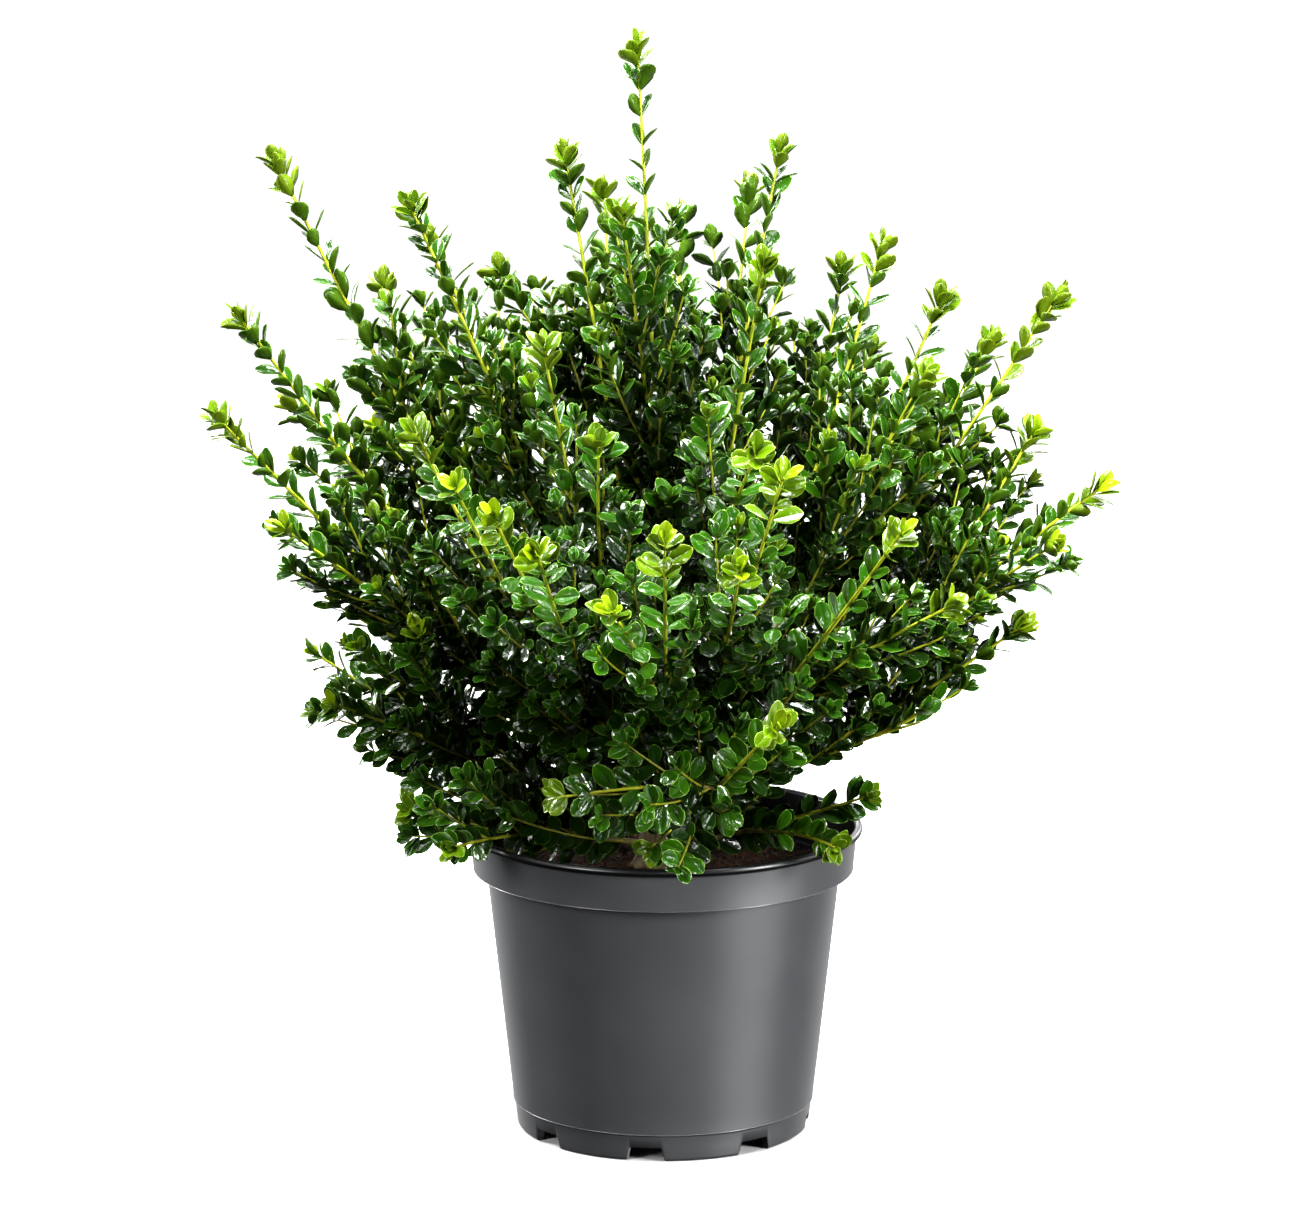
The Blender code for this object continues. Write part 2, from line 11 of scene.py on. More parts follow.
import bpy
import numpy as np
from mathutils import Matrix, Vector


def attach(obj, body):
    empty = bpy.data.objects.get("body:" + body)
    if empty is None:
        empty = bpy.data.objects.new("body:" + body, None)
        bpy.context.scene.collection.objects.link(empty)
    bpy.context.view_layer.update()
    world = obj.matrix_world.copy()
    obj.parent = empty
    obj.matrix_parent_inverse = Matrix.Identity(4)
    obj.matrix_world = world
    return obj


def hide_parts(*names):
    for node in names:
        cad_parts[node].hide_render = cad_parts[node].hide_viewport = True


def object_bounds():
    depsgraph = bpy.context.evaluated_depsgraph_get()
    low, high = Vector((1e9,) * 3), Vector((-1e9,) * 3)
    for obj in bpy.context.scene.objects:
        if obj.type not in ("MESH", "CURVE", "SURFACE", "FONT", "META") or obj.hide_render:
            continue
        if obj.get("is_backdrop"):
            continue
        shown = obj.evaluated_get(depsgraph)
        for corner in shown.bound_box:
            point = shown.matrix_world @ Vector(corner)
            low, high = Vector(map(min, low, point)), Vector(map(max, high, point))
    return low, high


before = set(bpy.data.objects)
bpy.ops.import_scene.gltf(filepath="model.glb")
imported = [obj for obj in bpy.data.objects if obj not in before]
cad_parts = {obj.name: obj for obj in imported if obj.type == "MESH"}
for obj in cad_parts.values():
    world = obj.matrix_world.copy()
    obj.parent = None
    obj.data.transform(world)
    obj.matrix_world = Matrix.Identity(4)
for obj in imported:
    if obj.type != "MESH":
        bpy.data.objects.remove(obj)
cad_low, cad_high = (list(corner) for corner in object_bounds())
BODY = "root"
MM = 0.001
print("solids in the model:", len(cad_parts))

# %% [markdown]
# ## Small tools
#
# Colours are given as screen hex values, while a renderer adds up light. One
# function turns the first into the second. Another adds one shader node with its settings
# and links, so that a material reads as a short list of nodes.

# %% Colours and nodes


def linear(colour, alpha=1.0):
    """A hex screen colour as linear light: below 0.04045 it is c / 12.92, above it is
    ((c + 0.055) / 1.055) to the power 2.4."""
    value = np.array([int(colour[i:i + 2], 16) for i in (1, 3, 5)]) / 255.0
    light = np.where(value <= 0.04045, value / 12.92, ((value + 0.055) / 1.055) ** 2.4)
    return (*light.tolist(), alpha)


def add_node(tree, kind, settings=None, **inputs):
    """A node of a kind, its settings, and its inputs: a socket is linked, a value is set."""
    node = tree.nodes.new(kind)
    for name, value in (settings or {}).items():
        setattr(node, name, value)
    for name, value in inputs.items():
        socket = node.inputs[name.replace("_", " ")] if isinstance(name, str) else node.inputs[name]
        if isinstance(value, bpy.types.NodeSocket):
            tree.links.new(value, socket)
        else:
            socket.default_value = value
    return node


def new_material(name, **constants):
    """A material with its Principled shader, and constants set on the shader's own sockets."""
    material = bpy.data.materials.new(name)
    material.use_nodes = True
    shader = material.node_tree.nodes["Principled BSDF"]
    for socket, value in constants.items():
        shader.inputs[socket.replace("_", " ")].default_value = value
    return material, material.node_tree, shader


def two_tones(tree, shader, dark, light, grain, detail=2.0, low=0.35, high=0.65, stretch=(1, 1, 1)):
    """Base colour that wanders between two tones in patches of a size in metres."""
    place = add_node(tree, "ShaderNodeTexCoord").outputs["Object"]
    placed = add_node(tree, "ShaderNodeMapping", Vector=place, Scale=stretch).outputs["Vector"]
    noise = add_node(tree, "ShaderNodeTexNoise", Vector=placed, Scale=1.0 / grain, Detail=detail)
    tones = add_node(tree, "ShaderNodeValToRGB", Fac=noise.outputs["Fac"])
    tones.color_ramp.elements[0].position = low
    tones.color_ramp.elements[1].position = high
    tones.color_ramp.elements[0].color = linear(dark)
    tones.color_ramp.elements[1].color = linear(light)
    tree.links.new(tones.outputs["Color"], shader.inputs["Base Color"])
    return placed


def add_bump(tree, shader, height, depth, strength=1.0):
    """Small relief from a height socket, depth in metres at full height."""
    bump = add_node(tree, "ShaderNodeBump", Height=height, Distance=depth, Strength=strength)
    tree.links.new(bump.outputs["Normal"], shader.inputs["Normal"])


# %% [markdown]
# Two more tools turn arrays into objects. A grid of points becomes a surface of four-sided
# faces. A list of such surfaces becomes one object, because a shrub of thousands of small
# objects would be slow to handle.

# %% Arrays into meshes


def grid_faces(rows, columns, wrap_rows=False, wrap_columns=False):
    """Corner numbers of the four-sided faces of a grid of rows by columns, which may wrap."""
    r = np.arange(rows if wrap_rows else rows - 1)[:, None]
    c = np.arange(columns if wrap_columns else columns - 1)[None, :]
    nr, nc = (r + 1) % rows, (c + 1) % columns
    faces = np.stack([r * columns + c, r * columns + nc, nr * columns + nc, nr * columns + c], axis=-1)
    return faces.reshape(-1, 4)


def fan_faces(centre, ring):
    """Triangles from one point to each step of a closed ring of points."""
    return np.stack([np.full(len(ring), centre), ring, np.roll(ring, -1)], axis=1)


def new_piece(name, points, faces, materials, slots=None, smooth=True):
    """An object at the origin from an array of points and arrays of faces, with a material
    number for each array of faces."""
    mesh = bpy.data.meshes.new(name)
    sizes = np.concatenate([np.full(len(f), f.shape[1], np.int32) for f in faces])
    corners = np.concatenate([f.ravel() for f in faces]).astype(np.int32)
    mesh.vertices.add(len(points))
    mesh.vertices.foreach_set("co", np.ascontiguousarray(points, np.float32).ravel())
    mesh.loops.add(len(corners))
    mesh.loops.foreach_set("vertex_index", corners)
    mesh.polygons.add(len(sizes))
    mesh.polygons.foreach_set("loop_start", (np.cumsum(sizes) - sizes).astype(np.int32))
    if slots is not None:
        numbers = np.concatenate([np.full(len(f), s, np.int32) for f, s in zip(faces, slots)])
        mesh.polygons.foreach_set("material_index", numbers)
    mesh.polygons.foreach_set("use_smooth", np.full(len(sizes), smooth))
    mesh.update(calc_edges=True)
    mesh.validate()
    for material in materials:
        mesh.materials.append(material)
    piece = bpy.data.objects.new(name, mesh)
    bpy.context.scene.collection.objects.link(piece)
    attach(piece, BODY)
    print(name, "faces:", len(sizes))
    return piece


def unit(vectors):
    """Vectors made one long, along the last axis."""
    return vectors / np.maximum(np.linalg.norm(vectors, axis=-1, keepdims=True), 1e-12)


def waves(places, size, seed, count=24):
    """Smooth random hills of about a size: the mean of sine waves that run in seeded
    directions, each with its own length and start, scaled to about -1 to 1."""
    draw = np.random.default_rng(seed)
    run = unit(draw.normal(size=(count, places.shape[-1]))) * draw.uniform(0.7, 1.5, (count, 1))
    start = draw.uniform(0.0, 2.0 * math.pi, count)
    return np.sin(places @ run.T * (2.0 * math.pi / size) + start).sum(axis=-1) / math.sqrt(2 * count)


# %% [markdown]
# ## The camera
#
# The photograph was taken from 3.6 m away with a long lens, slightly above the crown. The
# ellipses of the pot's lip and foot fix that height and distance.

# %% Camera
CAMERA_AT = (-0.009, -3.600, 1.060)
LOOKING_AT = (-0.009, 0.0, 0.3324)
IMAGE_WIDTH = 1298
FOCAL_PIXELS = 5897.0
SENSOR = 36.0

lens_data = bpy.data.cameras.new("studio_camera")
camera = bpy.data.objects.new("studio_camera", lens_data)
bpy.context.scene.collection.objects.link(camera)
bpy.context.scene.camera = camera
lens_data.sensor_fit = "HORIZONTAL"
lens_data.sensor_width = SENSOR
lens_data.lens = FOCAL_PIXELS * SENSOR / IMAGE_WIDTH
lens_data.clip_end = 50.0
fall = math.atan2(CAMERA_AT[2] - LOOKING_AT[2], LOOKING_AT[1] - CAMERA_AT[1])
camera.location = CAMERA_AT
camera.rotation_euler = (math.pi / 2.0 - fall, 0.0, 0.0)
print("lens in mm:", round(lens_data.lens, 1))

# %% [markdown]
# ## The pot
#
# A nursery pot is blow-moulded or injection-moulded polypropylene: satin outside, glossy on
# the rolled lip. It could be a Screw modifier on a profile. A grid of angle by profile is
# used instead, because the notches in the foot then need no Boolean: inside a notch the
# foot's lower edge is simply lifted.

# %% Pot sizes and profile
POT_HEIGHT = 0.194
LIP_OUTER, LIP_ROLL = 0.1250, 0.0026
BAND_TOP, BAND_FOOT, BAND_FOOT_Z = 0.1214, 0.1194, 0.166
WALL_TOP, WALL_FOOT, WALL_THICK = 0.1108, 0.0946, 0.0021
SEAM_Z, SEAM_STEP = 0.0165, 0.0010
FOOT_OUTER, FOOT_THICK, FOOT_ROUND = 0.0920, 0.0040, 0.0015
FLOOR_Z, FLOOR_TOP_Z = 0.0105, 0.0130
NOTCHES, NOTCH_BEARING, NOTCH_WIDTH, NOTCH_HEIGHT = 8, 263.0, 0.022, 0.009
NOTCH_SLANT = 0.0022    # how far a notch's side leans over its height
EDGE = 0.0008           # radius of the moulded edges
BEAD = 0.0002           # thin moulded line along the band's foot and the seam


def inner_wall(height):
    """Radius of the pot's inside: a straight taper from the seam up to the band."""
    share = (height - SEAM_Z) / (BAND_FOOT_Z - SEAM_Z)
    return WALL_FOOT + share * (WALL_TOP - WALL_FOOT) - WALL_THICK


def rounded(corners, radius, steps=4):
    """A polyline whose inner corners are cut back by a radius and bridged by an arc, taken
    as a quadratic curve through the corner."""
    made = [corners[0]]
    for before, corner, after in zip(corners, corners[1:], corners[2:]):
        before, corner, after = map(np.asarray, (before, corner, after))
        reach = min(radius, 0.45 * np.linalg.norm(before - corner), 0.45 * np.linalg.norm(after - corner))
        one = corner + reach * unit(before - corner)
        two = corner + reach * unit(after - corner)
        t = np.linspace(0.0, 1.0, steps + 1)[:, None]
        made += list((1 - t) ** 2 * one + 2 * t * (1 - t) * corner + t ** 2 * two)
    return np.array(made + [corners[-1]])


def filled(points, longest):
    """A polyline with points added so that no step is longer than a length."""
    made = [points[:1]]
    for one, two in zip(points, points[1:]):
        steps = max(1, int(np.ceil(np.linalg.norm(two - one) / longest)))
        made.append(one + np.linspace(0.0, 1.0, steps + 1)[1:, None] * (two - one))
    return np.concatenate(made)


def pot_section():
    """The pot's section from the axis: up its inside, over the lip, down its outside and
    under it, as radius and height. The lip is an arc of its roll's radius."""
    roll = np.radians(np.linspace(165.0, -50.0, 15))
    lip = np.stack([LIP_OUTER - LIP_ROLL + LIP_ROLL * np.cos(roll),
                    POT_HEIGHT - LIP_ROLL + LIP_ROLL * np.sin(roll)], axis=1)
    inside = rounded([(0.0005, FLOOR_TOP_Z), (inner_wall(SEAM_Z) - 0.002, FLOOR_TOP_Z),
                      (inner_wall(SEAM_Z), SEAM_Z), (inner_wall(BAND_FOOT_Z), BAND_FOOT_Z),
                      (BAND_FOOT - WALL_THICK, BAND_FOOT_Z + WALL_THICK), tuple(lip[0])], EDGE)
    foot_in = FOOT_OUTER - FOOT_ROUND - FOOT_THICK
    outside = rounded([tuple(lip[-1]), (BAND_TOP, POT_HEIGHT - 2.0 * LIP_ROLL),
                       (BAND_FOOT, BAND_FOOT_Z + 2.0 * BEAD), (BAND_FOOT + BEAD, BAND_FOOT_Z + BEAD),
                       (BAND_FOOT, BAND_FOOT_Z), (WALL_TOP + 0.0002, BAND_FOOT_Z - SEAM_STEP),
                       (WALL_TOP, BAND_FOOT_Z - 0.003), (WALL_FOOT, SEAM_Z + SEAM_STEP + BEAD),
                       (WALL_FOOT + BEAD, SEAM_Z + SEAM_STEP), (WALL_FOOT - SEAM_STEP, SEAM_Z),
                       (FOOT_OUTER, FOOT_ROUND), (FOOT_OUTER - FOOT_ROUND, 0.0),
                       (foot_in, 0.0), (foot_in + SEAM_STEP, FLOOR_Z), (0.0005, FLOOR_Z)], EDGE)
    return filled(np.concatenate([inside, lip[1:-1], outside]), 0.012)


def notch_lift(bearing, radius):
    """How far the foot's edge is lifted at a bearing: nothing between the notches and their
    full height inside, with a straight slant between, by distance along the foot."""
    pitch = 360.0 / NOTCHES
    off = np.abs((bearing - NOTCH_BEARING + 0.5 * pitch) % pitch - 0.5 * pitch)
    side = 0.5 * NOTCH_WIDTH - np.radians(off) * radius
    return NOTCH_HEIGHT * np.clip(side / NOTCH_SLANT + 0.5, 0.0, 1.0)


# %% Pot mesh
section = pot_section()
# Bearings are even, with extra ones close together at the sides of the notches.
half_notch = math.degrees(0.5 * NOTCH_WIDTH / FOOT_OUTER)
near_side = np.array([-1.2, -0.85, -0.5, -0.2, 0.2, 0.5, 0.85, 1.2]) + half_notch
sides = (NOTCH_BEARING + 360.0 / NOTCHES * np.arange(NOTCHES)[:, None]
         + np.concatenate([near_side, -near_side])).ravel() % 360.0
bearings = np.unique(np.round(np.concatenate([np.linspace(0.0, 360.0, 216, endpoint=False), sides]), 3))

radius, height = np.meshgrid(section[:, 0], np.ones(len(bearings)))
height = np.tile(section[:, 1], (len(bearings), 1))
turn = np.radians(bearings)[:, None]
in_foot = (section[:, 0] > FOOT_OUTER - FOOT_ROUND - FOOT_THICK - EDGE) & (section[:, 1] < FLOOR_Z)
lifted = np.maximum(height, notch_lift(bearings, FOOT_OUTER)[:, None])
height = np.where(in_foot[None, :], lifted, height)
pot_points = np.stack([radius * np.cos(turn), radius * np.sin(turn), height], axis=-1)
pot_faces = grid_faces(len(bearings), len(section), wrap_rows=True)
columns = len(section)
ring = np.arange(len(bearings)) * columns
pot_points = np.concatenate([pot_points.reshape(-1, 3), [(0, 0, FLOOR_TOP_Z), (0, 0, FLOOR_Z)]])
caps = np.concatenate([fan_faces(len(pot_points) - 2, ring),
                       fan_faces(len(pot_points) - 1, ring[::-1] + columns - 1)])

# %% [markdown]
# Charcoal polypropylene looks grey and not black, because its satin skin scatters the
# white studio. The lip is rolled over hot and comes out smooth and dark, so it has a
# material of its own. The inside and the underside of the foot get a near-black that hardly
# shines: painted shade, for the pot's own shadow there.

# %% Pot materials


def moulded_plastic(name, dark, light, roughness, shine=1.0):
    """Satin moulded polypropylene: tone that wanders by a few percent over some 60 mm, and
    the fine orange peel of the mould, drawn at 1.2 mm so that it shows."""
    material, tree, shader = new_material(name, Roughness=roughness, IOR=1.49, Specular_IOR_Level=shine)
    placed = two_tones(tree, shader, dark, light, 0.060)
    peel = add_node(tree, "ShaderNodeTexNoise", Vector=placed, Scale=1.0 / 0.0012, Detail=2.0)
    add_bump(tree, shader, peel.outputs["Fac"], 0.00002)
    return material


wall_plastic = moulded_plastic("satin_charcoal_polypropylene", "#4F5052", "#555658", 0.29)
lip_plastic = moulded_plastic("polished_black_polypropylene", "#0C0D0E", "#111213", 0.30, 0.5)
# Painted shade: near-black with almost no shine, for the inside and the foot's underside.
painted_shade_plastic = moulded_plastic("painted_shade_black_polypropylene", "#060707", "#0A0B0C", 0.42, 0.03)

# Which material each strip of the section takes, from where its middle lies.
middle = 0.5 * (section[1:] + section[:-1])
is_lip = (middle[:, 1] > POT_HEIGHT - 2.1 * LIP_ROLL) & (middle[:, 0] > BAND_TOP - WALL_THICK)
# The inside and the underside of the foot take the painted shade.
is_inner = np.arange(len(middle)) < np.argmax(is_lip)
is_inner |= (middle[:, 1] <= FLOOR_Z) & (middle[:, 0] < FOOT_OUTER - FOOT_ROUND - FOOT_THICK + SEAM_STEP)
kind = np.where(is_lip, 1, np.where(is_inner, 2, 0))
strip = np.tile(kind, len(bearings))
pot_shell = new_piece("pot_shell", pot_points, [pot_faces[strip == k] for k in range(3)] + [caps],
                      [wall_plastic, lip_plastic, painted_shade_plastic], [0, 1, 2, 2])
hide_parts("pot")

# %% [markdown]
# ## The soil
#
# Potting soil is dark peat: crumbs, with curled brown fibres on it. The ground is a round
# grid whose height follows seeded waves of three sizes, and the fibres are thin tubes laid
# on it. A plain bumpy material would look flat where the low light from the right grazes it.

# %% Tubes along paths


def frames_along(paths):
    """Two directions across each path at each point. The reference is the world axis that
    the path runs along least, so that the frame never flips."""
    ahead = unit(np.gradient(paths, axis=1))
    least = np.abs(ahead.mean(axis=1)).argmin(axis=1)
    reference = np.eye(3)[least][:, None, :]
    side = unit(np.cross(ahead, reference))
    return ahead, side, np.cross(ahead, side)


def swept(paths, radii, sides, relief=None):
    """Closed tubes along an array of paths: a circle of a radius at each point, times a
    relief for each point and side, and a point in the middle of each end."""
    ahead, one, two = frames_along(paths)
    turn = 2.0 * math.pi * np.arange(sides) / sides
    across = (np.cos(turn)[:, None] * one[:, :, None, :] + np.sin(turn)[:, None] * two[:, :, None, :])
    size = radii[:, :, None] * (1.0 if relief is None else relief)
    rings = paths[:, :, None, :] + across * np.broadcast_to(size, across.shape[:3])[..., None]
    count, steps = paths.shape[:2]
    points = np.concatenate([rings.reshape(count, -1, 3), paths[:, :1], paths[:, -1:]], axis=1)
    walls = grid_faces(steps, sides, wrap_columns=True)[:, ::-1]
    first = np.arange(sides)
    ends = np.concatenate([fan_faces(steps * sides, first),
                           fan_faces(steps * sides + 1, first[::-1] + (steps - 1) * sides)])
    offset = (np.arange(count) * points.shape[1])[:, None, None]
    return points.reshape(-1, 3), (walls + offset).reshape(-1, 4), (ends[:, ::-1] + offset).reshape(-1, 3)


# %% Soil surface
SOIL_EDGE_Z, SOIL_TOP_Z, SOIL_FLAT = 0.164, 0.169, 0.045
SOIL_RINGS, SOIL_STEPS = 90, 300
soil_rim = inner_wall(SOIL_EDGE_Z)


def soil_height(places):
    """Height of the peat: level in the middle, falling straight to the wall, plus waves of
    18, 7 and 3 mm, the smallest folded by its absolute value into sharp creases."""
    out = np.linalg.norm(places, axis=-1)
    fall_share = np.clip((out - SOIL_FLAT) / (soil_rim - SOIL_FLAT), 0.0, 1.0)
    ground = SOIL_TOP_Z - 0.0015 - fall_share * (SOIL_TOP_Z - SOIL_EDGE_Z)
    crumbs = (1.6 * MM * waves(places, 0.018, 1) + 0.9 * MM * waves(places, 0.007, 2)
              + 0.6 * MM * np.abs(waves(places, 0.0032, 3)))
    return ground + crumbs


out = np.linspace(0.0005, soil_rim, SOIL_RINGS)
turn = np.linspace(0.0, 2.0 * math.pi, SOIL_STEPS, endpoint=False)
flat = np.stack([out[:, None] * np.cos(turn), out[:, None] * np.sin(turn)], axis=-1)
ground = np.concatenate([flat, soil_height(flat)[..., None]], axis=-1).reshape(-1, 3)
under = ground[-SOIL_STEPS:] * (1.0, 1.0, 0.0) + (0.0, 0.0, SOIL_EDGE_Z - 0.010)
ground = np.concatenate([ground, under, [(0, 0, ground[0, 2]), (0, 0, SOIL_EDGE_Z - 0.010)]])
last = np.arange(SOIL_STEPS) + SOIL_RINGS * SOIL_STEPS
ground_faces = grid_faces(SOIL_RINGS + 1, SOIL_STEPS, wrap_columns=True)
ground_caps = np.concatenate([fan_faces(len(ground) - 2, np.arange(SOIL_STEPS)),
                              fan_faces(len(ground) - 1, last[::-1])])

peat, tree, shader = new_material("moist_peat", Roughness=0.92, Specular_IOR_Level=0.25)
placed = two_tones(tree, shader, "#150D08", "#3A271A", 0.004, detail=5.0)
crumb = add_node(tree, "ShaderNodeTexNoise", Vector=placed, Scale=1.0 / 0.0014, Detail=4.0)
add_bump(tree, shader, crumb.outputs["Fac"], 0.0006)
soil_bed = new_piece("soil_bed", ground, [ground_faces, ground_caps], [peat])
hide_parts("soil")

# %% Soil fibres
FIBRES, FIBRE_POINTS = 1500, 8


def fibre_paths(draw):
    """Curled fibres: a start anywhere on the soil, a heading, and a steady turn along the
    way, so each is part of a circle that lies on the ground or springs a little off it."""
    out = (soil_rim - 0.004) * np.sqrt(draw.uniform(0.02, 1.0, FIBRES))
    where = draw.uniform(0.0, 2.0 * math.pi, FIBRES)
    length = draw.uniform(0.004, 0.016, FIBRES)
    heading = draw.uniform(0.0, 2.0 * math.pi, FIBRES)
    curl = draw.normal(0.0, 1.6, FIBRES)
    share = np.linspace(0.0, 1.0, FIBRE_POINTS)
    angle = heading[:, None] + curl[:, None] * share
    step = length[:, None] / (FIBRE_POINTS - 1)
    x = (out * np.cos(where))[:, None] + np.cumsum(step * np.cos(angle), axis=1)
    y = (out * np.sin(where))[:, None] + np.cumsum(step * np.sin(angle), axis=1)
    places = np.stack([x, y], axis=-1)
    reach = np.linalg.norm(places, axis=-1, keepdims=True)
    places *= np.minimum(1.0, (soil_rim - 0.0015) / np.maximum(reach, 1e-9))
    spring = draw.uniform(0.0, 0.0035, FIBRES)[:, None] * np.sin(math.pi * share)
    return np.concatenate([places, (soil_height(places) + 0.0002 + spring)[..., None]], axis=-1)


draw = np.random.default_rng(41)
fibres = fibre_paths(draw)
thick = draw.uniform(0.15, 0.40, (FIBRES, 1)) * MM * np.linspace(1.0, 0.5, FIBRE_POINTS)
fibre_points, fibre_walls, fibre_ends = swept(fibres, thick, 3)
coir, tree, shader = new_material("dry_peat_fibre", Roughness=0.80, Specular_IOR_Level=0.30)
two_tones(tree, shader, "#2C1B0E", "#6E4C2C", 0.012)
soil_fibres = new_piece("soil_fibres", fibre_points, [fibre_walls, fibre_ends], [coir])
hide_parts("soil")

# %% [markdown]
# ## The trunk
#
# A short woody trunk hides in the foliage. Its bark is grey-brown with shallow furrows that
# run up it. The grid's radius is the trunk's taper times a relief that changes quickly
# round the trunk and slowly along it, which is what furrows are.

# %% Trunk
TRUNK_TOP_Z, TRUNK_FLARE, TRUNK_LOW, TRUNK_HIGH = 0.228, 0.0215, 0.0160, 0.0145
TRUNK_FLARE_RISE, TRUNK_ROUND, TRUNK_LEAN, CLEARANCE = 0.010, 0.0015, 0.04, 0.0003
TRUNK_RINGS, TRUNK_SIDES = 70, 96


def trunk_axis(height):
    """The middle of the leaning trunk at a height."""
    return np.array((TRUNK_LEAN * (height - SOIL_TOP_Z), 0.0, height))


def trunk_radius(height):
    """The trunk's radius above its flare, a straight taper."""
    share = (height - SOIL_TOP_Z - TRUNK_FLARE_RISE) / (TRUNK_TOP_Z - SOIL_TOP_Z - TRUNK_FLARE_RISE)
    return TRUNK_LOW + np.clip(share, 0.0, 1.0) * (TRUNK_HIGH - TRUNK_LOW)


def furrowed(angle, run, depth, seed):
    """A relief near 1: waves over the angle as a point on a circle, with the run along the
    limb drawn out six times, so that hills become ridges along the bark."""
    around = np.stack([np.cos(angle), np.sin(angle), run / 6.0], axis=-1)
    ridges = np.abs(waves(around, 0.55, seed)) * 0.9 + 0.5 * waves(around, 0.25, seed + 1)
    return 1.0 - depth * ridges


level = np.linspace(SOIL_TOP_Z - 0.003, TRUNK_TOP_Z, TRUNK_RINGS)
turn = np.linspace(0.0, 2.0 * math.pi, TRUNK_SIDES, endpoint=False)
flare = np.exp(-np.clip(level - SOIL_TOP_Z, 0.0, None) / (0.4 * TRUNK_FLARE_RISE))
size = trunk_radius(level) + flare * (TRUNK_FLARE - TRUNK_LOW)
size -= TRUNK_ROUND * np.clip((level - TRUNK_TOP_Z + 2 * TRUNK_ROUND) / (2 * TRUNK_ROUND), 0.0, 1.0) ** 2
angle, rise = np.meshgrid(turn, level)
rugged = furrowed(angle, rise / 0.016, 0.075, 51)
roots = 1.0 + 0.10 * flare[:, None] * np.cos(5.0 * angle + 0.8)
reach = size[:, None] * rugged * roots
lean = TRUNK_LEAN * (rise - SOIL_TOP_Z)
trunk_points = np.stack([lean + reach * np.cos(angle), reach * np.sin(angle), rise], axis=-1).reshape(-1, 3)
top, foot = trunk_axis(TRUNK_TOP_Z), trunk_axis(level[0])
trunk_points = np.concatenate([trunk_points, [top, foot]])
trunk_faces = grid_faces(TRUNK_RINGS, TRUNK_SIDES, wrap_columns=True)
rim = np.arange(TRUNK_SIDES)
trunk_caps = np.concatenate([fan_faces(len(trunk_points) - 2, rim + (TRUNK_RINGS - 1) * TRUNK_SIDES),
                             fan_faces(len(trunk_points) - 1, rim[::-1])])

bark, tree, shader = new_material("furrowed_holly_bark", Roughness=0.82, Specular_IOR_Level=0.30)
placed = two_tones(tree, shader, "#3A2F1E", "#6E6444", 0.006, detail=4.0, stretch=(1, 1, 0.25))
crack = add_node(tree, "ShaderNodeTexNoise", Vector=placed, Scale=1.0 / 0.0015, Detail=4.0)
add_bump(tree, shader, crack.outputs["Fac"], 0.0008)
trunk_wood = new_piece("trunk_wood", trunk_points, [trunk_faces, trunk_caps], [bark])
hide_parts("trunk")

# %% [markdown]
# ## The limbs
#
# The crown is planned limb by limb, as a grower would see it. A limb has a name, how
# steeply it starts, and its tips: the main one first, then the others, which fork from it.
# A tip is a bearing, a distance from the pot's axis and a height. Each main curve leaves
# the trunk along its starting slope and bends to its tip.

# %% Limb plan
LIMBS = {
    "leader": (88, ((130, 0.025, 0.680), (235, 0.045, 0.585))),
    "upright_right": (82, ((40, 0.095, 0.610), (65, 0.130, 0.580))),
    "upright_left": (84, ((145, 0.075, 0.610), (110, 0.110, 0.580), (138, 0.140, 0.530))),
    "upright_back": (80, ((85, 0.130, 0.560), (95, 0.190, 0.500))),
    "upright_front_right": (78, ((310, 0.095, 0.560), (290, 0.160, 0.455))),
    "upright_front_left": (60, ((236, 0.130, 0.515), (255, 0.150, 0.460))),
    "tall_left": (70, ((195, 0.160, 0.590), (170, 0.145, 0.560))),
    "high_left": (52, ((166, 0.250, 0.605), (150, 0.205, 0.520))),
    "outer_left": (46, ((180, 0.262, 0.515), (160, 0.250, 0.445))),
    "wide_left": (40, ((195, 0.282, 0.465), (203, 0.250, 0.400))),
    "low_left": (18, ((176, 0.220, 0.300), (192, 0.210, 0.280), (205, 0.165, 0.330))),
    "front_left": (46, ((220, 0.195, 0.465), (234, 0.212, 0.440))),
    "front_mid_left": (42, ((242, 0.215, 0.425), (252, 0.240, 0.410))),
    "front_middle": (44, ((270, 0.245, 0.420), (262, 0.225, 0.375))),
    "front_mid_right": (48, ((290, 0.205, 0.450), (281, 0.230, 0.400))),
    "front_right": (42, ((310, 0.220, 0.412), (329, 0.205, 0.355))),
    "high_right": (60, ((24, 0.150, 0.552), (42, 0.180, 0.475))),
    "upper_right": (58, ((358, 0.172, 0.528), (346, 0.165, 0.485))),
    "outer_right": (48, ((10, 0.250, 0.522), (24, 0.228, 0.485))),
    "wide_right": (42, ((358, 0.272, 0.410), (346, 0.245, 0.382), (5, 0.232, 0.440))),
    "low_right": (26, ((350, 0.225, 0.328), (343, 0.168, 0.270), (8, 0.185, 0.300))),
    "back_right": (46, ((56, 0.225, 0.470), (40, 0.240, 0.420), (50, 0.180, 0.525))),
    "back_middle": (40, ((86, 0.250, 0.410), (102, 0.240, 0.345))),
    "back_left": (46, ((125, 0.220, 0.480), (142, 0.235, 0.420))),
    "back_low_right": (18, ((48, 0.215, 0.320), (70, 0.220, 0.290))),
    "back_low_left": (16, ((138, 0.215, 0.315), (115, 0.215, 0.280))),
}
# These three lie over the rim, and their stems start straight from the trunk.
RIM_LIMBS = {
    "rim_left": (12, ((200, 0.170, 0.216), (220, 0.170, 0.204))),
    "rim_right": (16, ((334, 0.142, 0.226), (313, 0.154, 0.205))),
    "rim_front": (26, ((287, 0.228, 0.305), (266, 0.140, 0.210), (246, 0.165, 0.245))),
}
MASSES = list(LIMBS) + list(RIM_LIMBS)
print("limbs:", len(MASSES))

